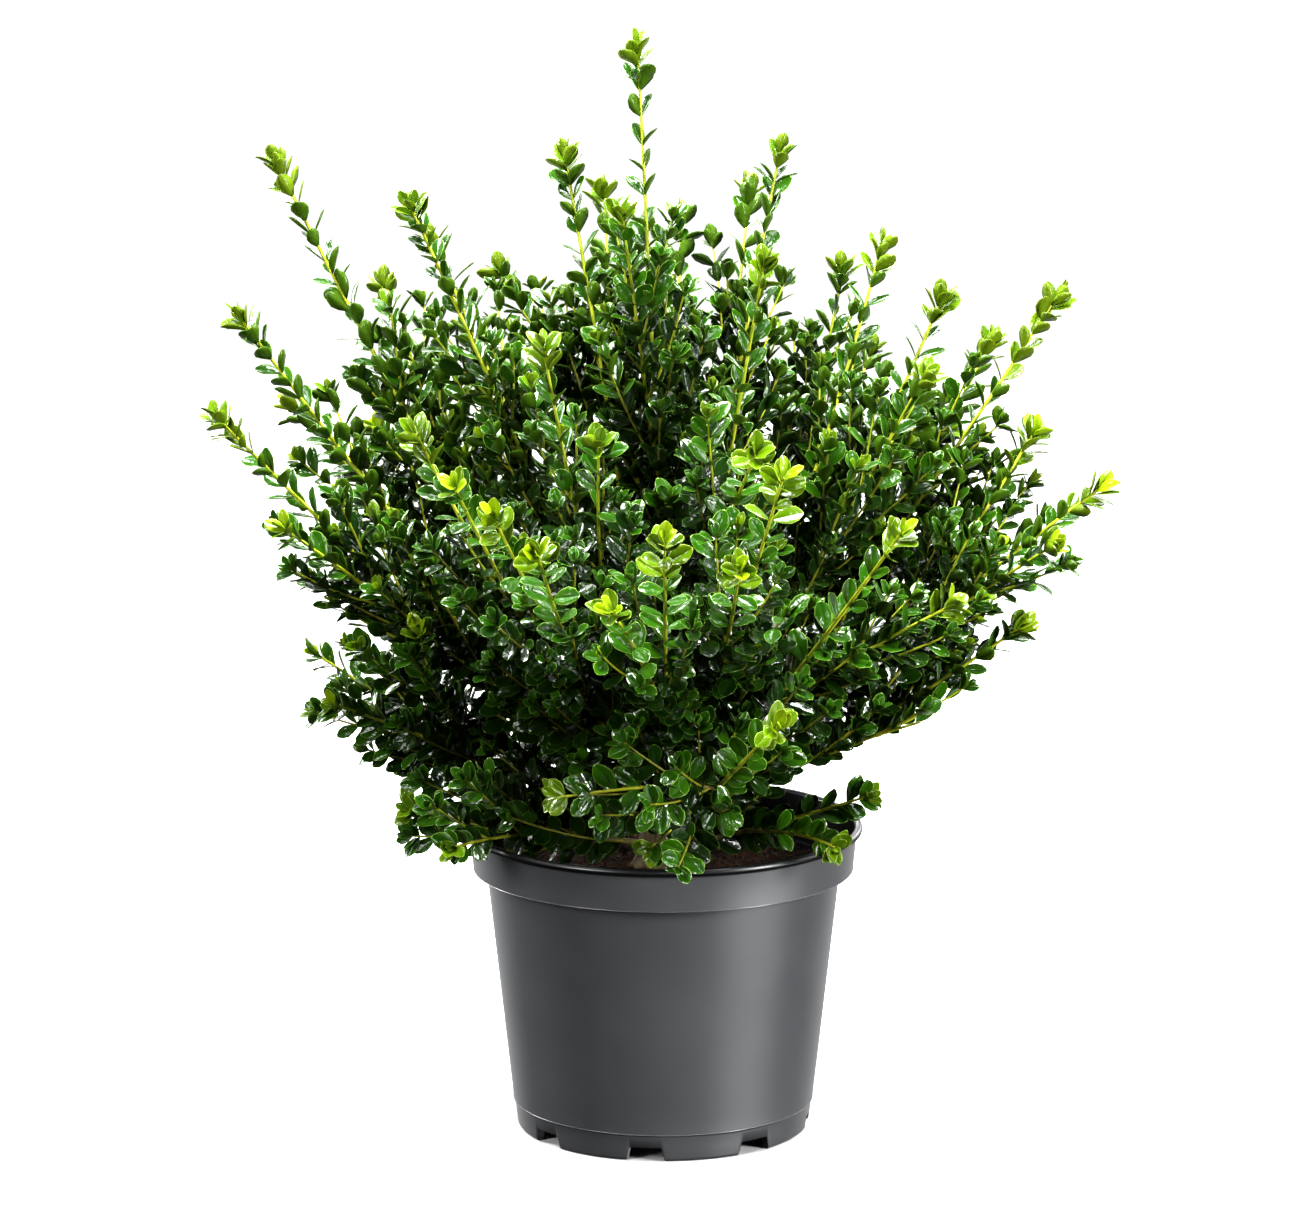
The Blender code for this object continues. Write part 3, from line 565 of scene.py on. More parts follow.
# %% Limb curves
BOUGH_ROOT, BOUGH_TIP, STEM_ROOT = 0.0030, 0.0023, 0.0024
SHOOT_ROOT, SHOOT_TIP, TUFT_REACH = 0.0016, 0.0010, 0.016
BOUGH_SHARE, FORK_SHARE, FORK_STEP, HANDLE = 0.22, 0.34, 0.12, 0.38
STEEP, TOP_RING, LOWEST_SEAT_Z, SEAT_RISE = 66.0, 0.0112, 0.182, 0.00062
SAMPLES = 61


def bear(bearing, reach, height):
    """The point at a bearing, a distance from the axis and a height."""
    angle = math.radians(bearing)
    return np.array((reach * math.cos(angle), reach * math.sin(angle), height))


def evenly(points, count):
    """A curve's points again, the same distance apart."""
    travelled = np.concatenate(([0.0], np.cumsum(np.linalg.norm(np.diff(points, axis=0), axis=1))))
    wanted = np.linspace(0.0, travelled[-1], count)
    return np.stack([np.interp(wanted, travelled, points[:, k]) for k in range(3)], axis=1)


def bend(start, heading, tip):
    """A quadratic curve from start, leaving along heading, to just short of tip: start times
    (1-t) squared, handle times 2t(1-t), end times t squared."""
    handle = start + HANDLE * np.linalg.norm(tip - start) * unit(heading)
    end = tip - TUFT_REACH * unit(tip - handle)
    t = np.linspace(0.0, 1.0, SAMPLES)[:, None]
    return evenly((1 - t) ** 2 * start + 2 * t * (1 - t) * handle + t ** 2 * end, SAMPLES)


def seat(name, lift, tip, thickness):
    """Where a limb starts: the steep ones on the trunk's top, the others on its side, at a
    level that rises with the limb's slope."""
    bearing, reach, height = tip
    slope = math.degrees(math.atan2(height - TRUNK_TOP_Z, reach))
    rise = math.radians(lift)
    heading = bear(bearing, math.cos(rise), math.sin(rise))
    if slope >= STEEP:
        out = 0.0 if name == "leader" else TOP_RING
        start = trunk_axis(TRUNK_TOP_Z) + bear(bearing, out, CLEARANCE + thickness * math.cos(rise))
    else:
        level = LOWEST_SEAT_Z + SEAT_RISE * max(slope, 0.0)
        out = float(trunk_radius(level)) + CLEARANCE + thickness * math.sin(rise)
        start = trunk_axis(level) + bear(bearing, out, 0.0)
    return start, heading


def limb_curves(name, lift, tips):
    """A limb's main curve and those that fork from it, each leaving halfway between the
    main curve's own direction and its tip's."""
    start, heading = seat(name, lift, tips[0], 0.5 * STEM_ROOT if name in RIM_LIMBS else BOUGH_ROOT)
    made = [bend(start, heading, bear(*tips[0]))]
    for order, tip in enumerate(tips[1:]):
        fork = int((FORK_SHARE + FORK_STEP * order) * (SAMPLES - 1))
        leave = unit(made[0][fork + 1] - made[0][fork])
        target = bear(*tip)
        made.append(bend(made[0][fork], leave + unit(target - made[0][fork]), target))
    return made


curves = {name: limb_curves(name, *plan) for name, plan in {**LIMBS, **RIM_LIMBS}.items()}
limb_count = sum(len(made) for made in curves.values())
print("main shoots:", limb_count)

# %% [markdown]
# ## Boughs
#
# Each bough is one tapering limb, from the trunk to where its foliage starts. Young holly
# wood is olive, with fine ridges and ring-shaped scars where leaves have dropped. The relief
# is the same furrow function as on the trunk, at a bough's scale.

# %% Boughs
BOUGH_POINTS, BOUGH_SIDES = 60, 14
end = int(BOUGH_SHARE * (SAMPLES - 1))
bough_paths = np.stack([evenly(curves[name][0][:end + 1], BOUGH_POINTS) for name in LIMBS])
run = np.linspace(0.0, 1.0, BOUGH_POINTS)
bough_radii = np.tile(BOUGH_ROOT + run * (BOUGH_TIP - BOUGH_ROOT), (len(LIMBS), 1))
angle, place = np.meshgrid(2.0 * math.pi * np.arange(BOUGH_SIDES) / BOUGH_SIDES, run)
relief = np.stack([furrowed(angle, place / 0.05, 0.08, 60 + k) for k in range(len(LIMBS))])
scars = 1.0 + 0.06 * np.exp(-((place * 7.0) % 1.0 - 0.5) ** 2 / 0.004)
points, walls, ends = swept(bough_paths, bough_radii, BOUGH_SIDES, relief * scars)

olive_bark, tree, shader = new_material("young_olive_bark", Roughness=0.62, Specular_IOR_Level=0.40)
placed = two_tones(tree, shader, "#4A4424", "#8C8440", 0.005, detail=4.0)
ridge = add_node(tree, "ShaderNodeTexNoise", Vector=placed, Scale=1.0 / 0.0012, Detail=3.0)
add_bump(tree, shader, ridge.outputs["Fac"], 0.0004)
bough_wood = new_piece("bough_wood", points, [walls, ends], [olive_bark])
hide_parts(*["bough_" + name for name in LIMBS])

# %% [markdown]
# ## Shoots and sprigs
#
# The main shoots carry finer sprigs. A sprig leaves its shoot on alternate sides, bends
# up along it, and is shorter the nearer it is to the tip, so the last stretch of each main
# shoot stands free, as in the photograph. Every sprig keeps to its own limb's space: what is
# nearer to that limb than to any other.

# %% Main shoots
draw = np.random.default_rng(17)
shoot_paths, shoot_mass, shoot_first, shoot_order = [], [], [], []
TIP_RUN = 0.013         # the real twig runs on this far, into its rosette
for number, name in enumerate(MASSES):
    for order, curve in enumerate(curves[name]):
        onward = curve[-1] + TIP_RUN * unit(curve[-1] - curve[-2])
        shoot_paths.append(evenly(np.concatenate([curve, onward[None]]), SAMPLES))
        shoot_mass.append(number)
        shoot_order.append(order)
        shoot_first.append(0.05)
shoot_paths = np.stack(shoot_paths)
shoot_mass, shoot_first = np.array(shoot_mass), np.array(shoot_first)
shoot_order = np.array(shoot_order)
limb_samples = shoot_paths[:, ::3].reshape(-1, 3)
limb_owner = np.repeat(shoot_mass, shoot_paths[:, ::3].shape[1])


OVERREACH = 0.012       # real sprays of neighbouring limbs interlace by about this much


def in_space(points, mass, overreach=OVERREACH):
    """Whether each point lies in its mass's space: its own limb is the nearest one, or is
    farther away by no more than the overreach."""
    found = np.empty(len(points), bool)
    for low in range(0, len(points), 4000):
        part, own = points[low:low + 4000], mass[low:low + 4000]
        square = (part ** 2).sum(1)[:, None] - 2.0 * part @ limb_samples.T + (limb_samples ** 2).sum(1)
        away = np.sqrt(np.maximum(square, 0.0))
        mine = np.where(limb_owner[None, :] == own[:, None], away, 9.0).min(axis=1)
        found[low:low + 4000] = mine <= away.min(axis=1) + overreach
    return found


def clears_pot(points):
    """Whether each point keeps off the pot's wall and lip, the soil and the trunk."""
    out = np.hypot(points[:, 0], points[:, 1])
    height = points[:, 2]
    beside = (out > LIP_OUTER + 0.002) & (height > POT_HEIGHT - 0.008)
    above = height > POT_HEIGHT + 0.002
    within = (out < WALL_TOP - 0.003) & (height > SOIL_TOP_Z + 0.002)
    trunk_middle = TRUNK_LEAN * (height - SOIL_TOP_Z)
    in_trunk = (np.hypot(points[:, 0] - trunk_middle, points[:, 1]) < TRUNK_FLARE) & (height < TRUNK_TOP_Z)
    return (beside | above | within) & ~in_trunk


def shows_pot(points):
    """Whether each point lies at the right in the space above the rim that the photograph
    shows empty: it is lower than a plane that rises to the right and towards the viewer."""
    plane = 0.215 + 0.50 * np.maximum(points[:, 0] - 0.06, 0.0) - 0.20 * points[:, 1]
    return (points[:, 0] > 0.03) & (points[:, 1] > -0.13) & (points[:, 2] < plane)


def at_share(paths, share):
    """Point and direction of each path at its own share of the way, between its samples."""
    steps = paths.shape[1] - 1
    low = np.clip((share * steps).astype(int), 0, steps - 1)
    row = np.arange(len(paths))
    one, two = paths[row, low], paths[row, low + 1]
    return one + (share * steps - low)[:, None] * (two - one), unit(two - one)


def lengths(paths):
    """How long each path is."""
    return np.linalg.norm(np.diff(paths, axis=1), axis=2).sum(axis=1)


# %% Sprigs
SPRIG_SPACING = 0.0079
SPRIG_SAMPLES = 21
FRONT = -0.12           # shoots whose tips are nearer to the viewer than this
SPRIG_LONG, SPRIG_SHORT = 0.110, 0.034
SPRIG_OPEN = (20.0, 38.0)       # degrees between a sprig and its shoot, where it leaves


def grow_sprigs(paths, masses, first, last, spacing, longest, shortest, draw):
    """Sprigs along each path: at even places between two shares, turned a right angle and a
    bit each time, bent from their root's angle towards the shoot's own direction. Past its
    foot a shoot bears none on the side that it is seen from."""
    long = lengths(paths)
    count = np.maximum(1, np.round(long * (last - first) / spacing).astype(int))
    parent = np.repeat(np.arange(len(paths)), count)
    index = np.arange(len(parent)) - np.repeat(np.cumsum(count) - count, count)
    share = first[parent] + (last[parent] - first[parent]) * (index + draw.uniform(0.2, 0.8, len(parent))) / count[parent]
    root, ahead = at_share(paths[parent], share)
    side = unit(np.cross(ahead, np.array((0.31, 0.17, 0.93))))
    around = draw.uniform(0, 2 * math.pi, len(paths))[parent] + index * math.radians(97.0)
    around += draw.normal(0.0, 0.25, len(parent))
    outward = np.cos(around)[:, None] * side + np.sin(around)[:, None] * np.cross(ahead, side)
    reach = (longest + (shortest - longest) * share) * draw.uniform(0.55, 1.1, len(parent))
    open_angle = np.radians(draw.uniform(*SPRIG_OPEN, len(parent)))[:, None]
    leave = np.cos(open_angle) * ahead + np.sin(open_angle) * outward
    up = np.array((0.0, 0.0, 1.0))
    finish = unit(0.85 * ahead + 0.30 * outward + 0.22 * up)
    handle = root + 0.45 * reach[:, None] * leave
    tip = handle + 0.60 * reach[:, None] * finish
    t = np.linspace(0.0, 1.0, SPRIG_SAMPLES)[None, :, None]
    made = (1 - t) ** 2 * root[:, None] + 2 * t * (1 - t) * handle[:, None] + t ** 2 * tip[:, None]
    mass = masses[parent]
    keep = in_space(tip, mass) & in_space(handle, mass) & clears_pot(tip) & clears_pot(handle)
    keep &= ~shows_pot(tip)
    keep &= tip[:, 2] < cad_high[2] - 0.02
    radial = unit(root * (1.0, 1.0, 0.0))
    seen_side = np.where(paths[parent, -1, 1] < 0.08, -outward[:, 1], (outward * radial).sum(axis=1))
    keep &= (seen_side < 0.25) | (share < 0.36)
    return made[keep], mass[keep], parent[keep], share[keep]


# The shoots that come towards the viewer keep their outer part free, as in the photograph.
sprig_first = np.full(len(shoot_paths), 0.04)
sprig_last = np.where(shoot_paths[:, -1, 1] < FRONT, 0.42, 0.68)
sprigs, sprig_mass, sprig_parent, sprig_share = grow_sprigs(
    shoot_paths, shoot_mass, sprig_first, sprig_last, SPRIG_SPACING, SPRIG_LONG, SPRIG_SHORT, draw)
print("sprigs:", len(sprigs))

# %% [markdown]
# ## Twigs
#
# A holly's twig is bright yellow-green while it is young, then olive, then brown. Three
# joined meshes hold the three ages, cut from the same curves by how far along they are, so
# each has one plain colour.

# %% Twig meshes
TWIG_SIDES = 6
TWIG_SLIM = 0.85        # the model's stems are this much thicker than real twigs


def stretch_of(paths, low, high, count):
    """The part of each path between two shares, resampled to a number of points."""
    steps = paths.shape[1] - 1
    share = np.linspace(low, high, count) * steps
    at = np.clip(share.astype(int), 0, steps - 1)
    rest = (share - at)[None, :, None]
    return paths[:, at] + rest * (paths[:, at + 1] - paths[:, at])


def taper(root, tip, low, high, count, paths):
    """Radii along that part, of a twig that tapers straight from root to tip, swollen a
    little where leaves sit, every 12 mm."""
    share = np.linspace(low, high, count)
    travelled = share[None, :] * lengths(paths)[:, None]
    nodes = 1.0 + 0.10 * np.cos(2.0 * math.pi * travelled / 0.012) ** 8
    return (root[:, None] + share * (tip - root)[:, None]) * nodes


def twig_material(name, dark, light, roughness):
    """Living bark of one age: two close tones that wander over 8 mm, and fine ridges."""
    material, tree, shader = new_material(name, Roughness=roughness, Specular_IOR_Level=0.45)
    placed = two_tones(tree, shader, dark, light, 0.008)
    ridge = add_node(tree, "ShaderNodeTexNoise", Vector=placed, Scale=1.0 / 0.0010, Detail=2.0)
    add_bump(tree, shader, ridge.outputs["Fac"], 0.0001)
    return material


foliage_nodes = ["foliage_" + name for name in MASSES]
main_root = np.where(shoot_order == 0, STEM_ROOT, SHOOT_ROOT) * TWIG_SLIM
main_tip = np.full(len(shoot_paths), SHOOT_TIP * TWIG_SLIM)
has_bough = np.array([MASSES[m] in LIMBS for m in shoot_mass]) & (shoot_order == 0)
ages = {
    "twigs_brown": ("brown_holly_twig", "#4E4520", "#6F6A2A", 0.60),
    "twigs_olive": ("olive_holly_twig", "#6E7016", "#8A881C", 0.50),
    "twigs_green": ("yellow_green_holly_twig", "#929A1C", "#B4B830", 0.40),
}
WOOD_END = BOUGH_SHARE - 0.01
low_cut = np.where(has_bough, WOOD_END, 0.0)
parts = {name: [] for name in ages}
for start in (0.0, WOOD_END):
    chosen = low_cut == start
    group, root, tip = shoot_paths[chosen], main_root[chosen], main_tip[chosen]
    for name, low, high, count in (("twigs_brown", start, 0.26, 12), ("twigs_olive", 0.26, 0.40, 16),
                                   ("twigs_green", 0.40, 1.0, 70)):
        parts[name].append(swept(stretch_of(group, low, high, count),
                                 taper(root, tip, low, high, count, group), TWIG_SIDES))
sprig_root = np.full(len(sprigs), 0.0009)
sprig_tip = np.full(len(sprigs), 0.0006)
old = sprig_share < 0.35
for chosen, name in ((old, "twigs_olive"), (~old, "twigs_green")):
    group = sprigs[chosen]
    parts[name].append(swept(stretch_of(group, 0.0, 1.0, 14),
                             taper(sprig_root[chosen], sprig_tip[chosen], 0.0, 1.0, 14, group), 5))


def joined(surfaces):
    """Several lots of points, walls and ends as one, with their corner numbers moved up."""
    offset = np.cumsum([0] + [len(points) for points, _, _ in surfaces])
    points = np.concatenate([s[0] for s in surfaces])
    walls = np.concatenate([s[1] + o for s, o in zip(surfaces, offset)])
    ends = np.concatenate([s[2] + o for s, o in zip(surfaces, offset)])
    return points, walls, ends


for name, (finish, dark, light, roughness) in ages.items():
    points, walls, ends = joined(parts[name])
    twigs = new_piece(name, points, [walls, ends], [twig_material(finish, dark, light, roughness)])
    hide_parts(*foliage_nodes)

# %% [markdown]
# ## One leaf
#
# The leaf is spoon-shaped: a narrow wedge at the stalk, widest past the middle, a round
# tip. It is folded a little along its midrib, and its edge is a thin pale line, a painted
# highlight for the light that the rim catches. It could be a flat cut-out with a picture of a
# leaf. This one is a small closed solid, so that its upper face, its edge strip with the
# painted highlight and its dull underside are real faces with their own finish, and it holds
# up from any side.

# %% Leaf shape
LEAF_LENGTH, LEAF_WIDTH, LEAF_THICK = 0.0204, 0.0119, 0.00035
WIDEST_POWER = 1.40     # puts the widest place a little past the middle
MARGIN = 0.92           # the edge strip, coloured as a painted highlight, starts this far out from the midrib
# Where half a leaf has points, along it and from the midrib out: more on the leaves that show.
FINE = ((0.13, 0.35, 0.60, 0.82, 0.96), (0.0, 0.5, MARGIN, 1.0))
PLAIN = ((0.16, 0.46, 0.76, 0.95), (0.0, MARGIN, 1.0))


def half_width(share):
    """Half the leaf's width along its length: half a sine wave, with the length raised to a
    power so that the base is narrower than the tip, and the wave to a power below one, so
    that the ends are round."""
    return 0.5 * LEAF_WIDTH * np.sin(math.pi * share ** WIDEST_POWER) ** 0.66


def leaf_template(grade, fold, bulge, droop):
    """Points and faces of one leaf along +X, its upper face to +Z. The height is the fold
    times the distance from the midrib, less the bulge times its square, both flatter where
    the leaf is narrower, less the droop times the square of the length. The two halves have
    a midrib each, in one place, so that it shows as a crease. The under skin is two flat
    halves that share the leaf's edge, with the spine a leaf's thickness lower.
    Faces come as upper, margin and under."""
    across = np.array(grade[1])
    x, v = np.meshgrid(grade[0], np.concatenate([-across[::-1], across]), indexing="ij")
    y = v * half_width(x)
    flatter = half_width(x) / (0.5 * LEAF_WIDTH)
    z = flatter * (fold * np.abs(y) - bulge * y ** 2 / (0.5 * LEAF_WIDTH)) - droop * LEAF_LENGTH * x ** 2
    upper = np.stack([x * LEAF_LENGTH, y, z], axis=-1)
    rows, columns = v.shape
    spine = upper[:, columns // 2] - (0.0, 0.0, LEAF_THICK)
    ends = np.array([(0.0, 0.0, -0.5 * LEAF_THICK), (LEAF_LENGTH, 0.0, -droop * LEAF_LENGTH)])
    points = np.concatenate([upper.reshape(-1, 3), spine, ends])
    base, tip = len(points) - 2, len(points) - 1
    above = np.arange(rows * columns).reshape(rows, columns)
    below = np.stack([above[:, 0], rows * columns + np.arange(rows), above[:, -1]], axis=1)
    halves = np.delete(np.arange(columns - 1), columns // 2 - 1)
    groups = []
    for skin, flip, strips, margin, slots in ((above, 1, halves, [0, columns - 2], (0, 1)),
                                              (below, -1, np.arange(2), [], (2, 2))):
        is_margin = np.isin(strips, margin)
        left, right = skin[:, strips], skin[:, strips + 1]
        quads = np.stack([left[:-1], left[1:], right[1:], right[:-1]], axis=-1)
        stalk = np.stack([0 * strips + base, left[0], right[0]], axis=-1)
        close = np.stack([left[-1], 0 * strips + tip, right[-1]], axis=-1)
        groups += [(quads[:, ~is_margin].reshape(-1, 4)[:, ::flip], slots[0]),
                   (quads[:, is_margin].reshape(-1, 4)[:, ::flip], slots[1]),
                   (stalk[:, ::flip], slots[0]), (close[:, ::flip], slots[1])]
    return points, [group for group in groups if len(group[0])]


BENDS = ((0.70, 0.52, -0.08), (0.82, 0.58, 0.04), (0.56, 0.48, 0.14))
templates = [leaf_template(grade, *bend) for grade in (FINE, PLAIN) for bend in BENDS]
leaf_triangles = [sum(len(f) * (f.shape[1] - 2) for f, _ in groups) for _, groups in templates]
print("triangles in a leaf:", leaf_triangles)

# %% [markdown]
# ## Where the leaves grow
#
# On this plant the leaves stand mostly in opposite pairs, each pair a quarter turn on from the last. On a
# level twig they are combed into two rows, because each blade turns its face to the light.
# All leaves of all twigs are worked out together: one row of an array for each leaf.

# %% Leaf places
UP = np.array((0.0, 0.0, 1.0))
COMB_OVER = 0.30        # combing sets in over this much of the sine of the twig's slope
COMB_FRONT, COMB_OTHER = 1.0, 0.62


def leaf_rows(paths, first, spacing, size, open_lean, draw):
    """For each leaf along each path: its twig, its share of the way, its turn, its size and
    how far it leans from the twig, in radians. Pairs sit in the middle of even steps."""
    count = np.maximum(2, np.round(lengths(paths) * (1.0 - first) / spacing).astype(int))
    twig = np.repeat(np.arange(len(paths)), count)
    index = np.arange(len(twig)) - np.repeat(np.cumsum(count) - count, count)
    share = first[twig] + (1.0 - first[twig]) * (index + 0.5) / count[twig]
    share = np.minimum(share + draw.normal(0.0, 0.10, len(twig)) / count[twig], 0.985)
    turn = draw.uniform(0.0, 0.5 * math.pi, len(paths))[twig] + 0.5 * math.pi * index
    twig, share, turn = (np.repeat(a, 2) for a in (twig, share, turn))
    half = np.tile((0.0, math.pi), len(twig) // 2)
    turn = turn + half + draw.normal(0.0, math.radians(15.0), len(twig))
    full = np.minimum(1.05, 1.12 - 0.20 * share ** 3) * size[twig]
    lean = np.radians(open_lean[twig] - 12.0 * share + draw.normal(0.0, 9.0, len(twig)))
    return twig, share, turn, full * draw.uniform(0.78, 1.10, len(twig)), lean


def rosette_rows(count, draw, pairs):
    """Pairs of leaves crowded round each twig's end, each pair a quarter turn on, smaller
    and steeper."""
    rows = []
    start = draw.uniform(0.0, 2 * math.pi, count)
    for number, (lean, size, share) in enumerate(pairs):
        twig = np.repeat(np.arange(count), 2)
        turn = start[twig] + 0.5 * math.pi * number + np.tile((0.0, math.pi), count)
        turn = turn + draw.normal(0.0, 0.15, len(twig))
        angle = np.radians(lean + draw.normal(0.0, 6.0, len(twig)))
        rows.append((twig, np.full(len(twig), share), turn, size * draw.uniform(0.85, 1.1, len(twig)), angle))
    return [np.concatenate(column) for column in zip(*rows)]


def toward_light(root):
    """Where the light comes from at each leaf: from above, from outside the crown, and on
    the front half also from the viewer's side, as if it had grown with its face to a window.
    Low leaves get little from above, because the crown shades them."""
    radial = unit(root * (1.0, 1.0, 0.0))
    above = np.clip((root[:, 2:] - 0.20) / 0.15, 0.25, 1.0) * 0.75
    low = np.clip((0.30 - root[:, 2:]) / 0.08, 0.0, 1.0)
    window = np.clip(0.65 - root[:, 1:2] / 0.25, 0.0, 1.0) * np.array((0.0, -1.0, 0.0))
    return unit(above * UP + (0.4 - 0.2 * low) * radial + (0.35 + 0.35 * low) * window)


def place_leaves(paths, rows, comb_below, draw):
    """Root, three axes and size of each leaf. Its heading is the twig's direction times the
    cosine of its lean plus the outward direction times the sine. On a steep twig its face
    looks along the twig. Where the twig's slope has a sine below comb_below, the outward
    direction is pulled to the side, and the face turns to the light."""
    twig, share, turn, size, lean = rows
    root, ahead = at_share(paths[twig], share)
    side = unit(np.cross(ahead, np.array((0.31, 0.17, 0.93))))
    outward = np.cos(turn)[:, None] * side + np.sin(turn)[:, None] * np.cross(ahead, side)
    level = np.clip((comb_below[twig][:, None] - np.abs(ahead[:, 2:])) / COMB_OVER, 0.0, 1.0)
    light = toward_light(root)
    beside = unit(np.cross(light, ahead))
    toward = (outward * beside).sum(axis=1, keepdims=True)
    hand = np.where(np.abs(toward) < 0.35, np.where(draw.random((len(twig), 1)) < 0.5, -1.0, 1.0), np.sign(toward))
    outward = unit(outward * (1.0 - 0.55 * level) + beside * hand * 0.8 * level)
    heading = np.cos(lean)[:, None] * ahead + np.sin(lean)[:, None] * outward
    face = unit(ahead * (0.7 - 0.5 * level) + light * (0.4 + 0.7 * level))
    face = face + draw.normal(0.0, 0.26, face.shape)
    face = unit(face - heading * (face * heading).sum(axis=1, keepdims=True))
    return root, np.stack([heading, np.cross(face, heading), face], axis=-1), size


# %% Deal out the leaves
# The pairs of a rosette: lean in degrees, size, and how far along the twig it sits.
MAIN_ROSETTE = ((52.0, 0.90, 0.955), (44.0, 0.86, 0.978), (34.0, 0.78, 0.991), (20.0, 0.66, 1.0))
SPRIG_ROSETTE = ((48.0, 0.68, 0.955), (32.0, 0.56, 0.985), (11.0, 0.42, 1.0))

in_front = shoot_paths[:, -1, 1] < FRONT
steep = (shoot_paths[:, -1, 2] - shoot_paths[:, 0, 2]) / lengths(shoot_paths) > 0.80
main_spacing = np.where(in_front, 0.0148, np.where(steep, 0.0112, 0.0094))
main_spacing[0] = 0.0165        # the leader has shot up, with long gaps between its pairs
lush = shoot_mass == MASSES.index("high_left")
main_spacing[lush] = 0.0092     # and the high shoot at the left is the leafiest
main_size = np.where(in_front | lush, 0.95, 0.90)
sprig_size = np.where(in_front, 1.0, 0.93)[sprig_parent]
main_lean = np.where(in_front, 58.0, 48.0)
main_rows = leaf_rows(shoot_paths, shoot_first, main_spacing, main_size, main_lean, draw)
sprig_rows = leaf_rows(sprigs, np.full(len(sprigs), 0.10), np.full(len(sprigs), 0.0094),
                       draw.uniform(0.82, 0.98, len(sprigs)) * sprig_size,
                       main_lean[sprig_parent], draw)
main_comb = np.where(in_front, COMB_FRONT, COMB_OTHER)
sprig_comb = main_comb[sprig_parent]
main_tuft = rosette_rows(len(shoot_paths), draw, MAIN_ROSETTE)
# The low shoots end in a few small leaves, not in a full rosette.
main_tuft[3] = main_tuft[3] * np.where(shoot_paths[:, -1, 2] < 0.30, 0.74, 1.0)[main_tuft[0]]
sprig_tuft = rosette_rows(len(sprigs), draw, SPRIG_ROSETTE)

lots = []
for paths, mass, rows, is_tuft, rank in (
        (shoot_paths, shoot_mass, main_rows, False, 0), (sprigs, sprig_mass, sprig_rows, False, 1),
        (shoot_paths, shoot_mass, main_tuft, True, 0), (sprigs, sprig_mass, sprig_tuft, True, 1)):
    comb = main_comb if rank == 0 else sprig_comb
    root, axes, size = place_leaves(paths, rows, comb - (0.35 if is_tuft else 0.0), draw)
    middle = root + 0.55 * LEAF_LENGTH * size[:, None] * axes[..., 0]
    tip = root + LEAF_LENGTH * size[:, None] * axes[..., 0]
    owner = mass[rows[0]]
    keep = in_space(middle, owner, OVERREACH + 0.006) & clears_pot(middle) & clears_pot(tip)
    keep &= ~shows_pot(middle) | (owner == MASSES.index("rim_right"))
    keep &= np.all(tip > np.array(cad_low) - 0.004, axis=1) & np.all(tip < np.array(cad_high) + 0.004, axis=1)
    lots.append({"root": root[keep], "axes": axes[keep], "size": size[keep], "mass": owner[keep],
                 "twig": rows[0][keep] + (0 if rank == 0 else 1000), "share": rows[1][keep],
                 "tuft": np.full(keep.sum(), is_tuft), "rank": np.full(keep.sum(), rank)})
leaves = {key: np.concatenate([lot[key] for lot in lots]) for key in lots[0]}
print("leaves:", len(leaves["root"]))

# %% [markdown]
# ## Leaf colours
#
# The plant's green has an order. Old leaves deep in the crown are dark bottle green, partly
# from age and partly as painted shade; those on the outside are a mid green, lighter as painted
# light; those near the tips are lighter, and the newest ones in the rosettes lime. The front,
# the top, the right side and the low left are painted lighter too. Each spray gets its own tone
# from this list, so the colours are plain base colours that stay in place whatever is done to
# the mesh.

# %% Leaf classes
TONES = {
    # upper dark, upper light, edge strip (painted highlight), under
    "deep": ("#0A2201", "#143202", "#44621E", "#243A08"),
    "mid": ("#204A02", "#305C04", "#7E9E46", "#42600E"),
    "light": ("#4C6E04", "#627E08", "#9CAE52", "#5E740F"),
    "lime": ("#748F04", "#889E08", "#AABC4C", "#88A212"),
}
twig_draw = np.random.default_rng(23)
spray_tone = twig_draw.random(1000 + len(sprigs))[leaves["twig"]]
axis_reach = np.hypot(leaves["root"][:, 0], leaves["root"][:, 1])
depth_in = np.hypot(axis_reach, leaves["root"][:, 2] - 0.22)
outer = np.clip((depth_in - 0.10) / 0.22, 0.0, 1.0)
front = np.clip(-leaves["root"][:, 1] / 0.25, -1.0, 1.0)
# youth_and_light: lighter towards each shoot's tip and by a random tone per spray, which is age; darker deep in
# the crown as painted shade; lighter at the outside, the front and the top as painted light. Sprigs are a little
# darker.
youth_and_light = 0.55 * outer + 0.12 * front + 0.35 * leaves["share"] + 0.35 * (spray_tone - 0.5)
youth_and_light += 0.38 * np.clip(front, 0.0, 1.0) * leaves["share"] * (leaves["rank"] == 0)
youth_and_light += 0.10 * np.clip((leaves["root"][:, 2] - 0.33) / 0.2, 0.0, 1.0) - 0.18 * (leaves["rank"] == 1)
youth_and_light += 0.20 * np.clip((leaves["share"] - 0.88) / 0.1, 0.0, 1.0) * (leaves["rank"] == 0)
# The shoots over the rim are painted lighter: painted light that they catch low over the rim.
# The high one at the left is lighter too.
lightened_mass = (leaves["mass"] >= len(LIMBS)) | (leaves["mass"] == MASSES.index("high_left"))
youth_and_light += 0.22 * lightened_mass
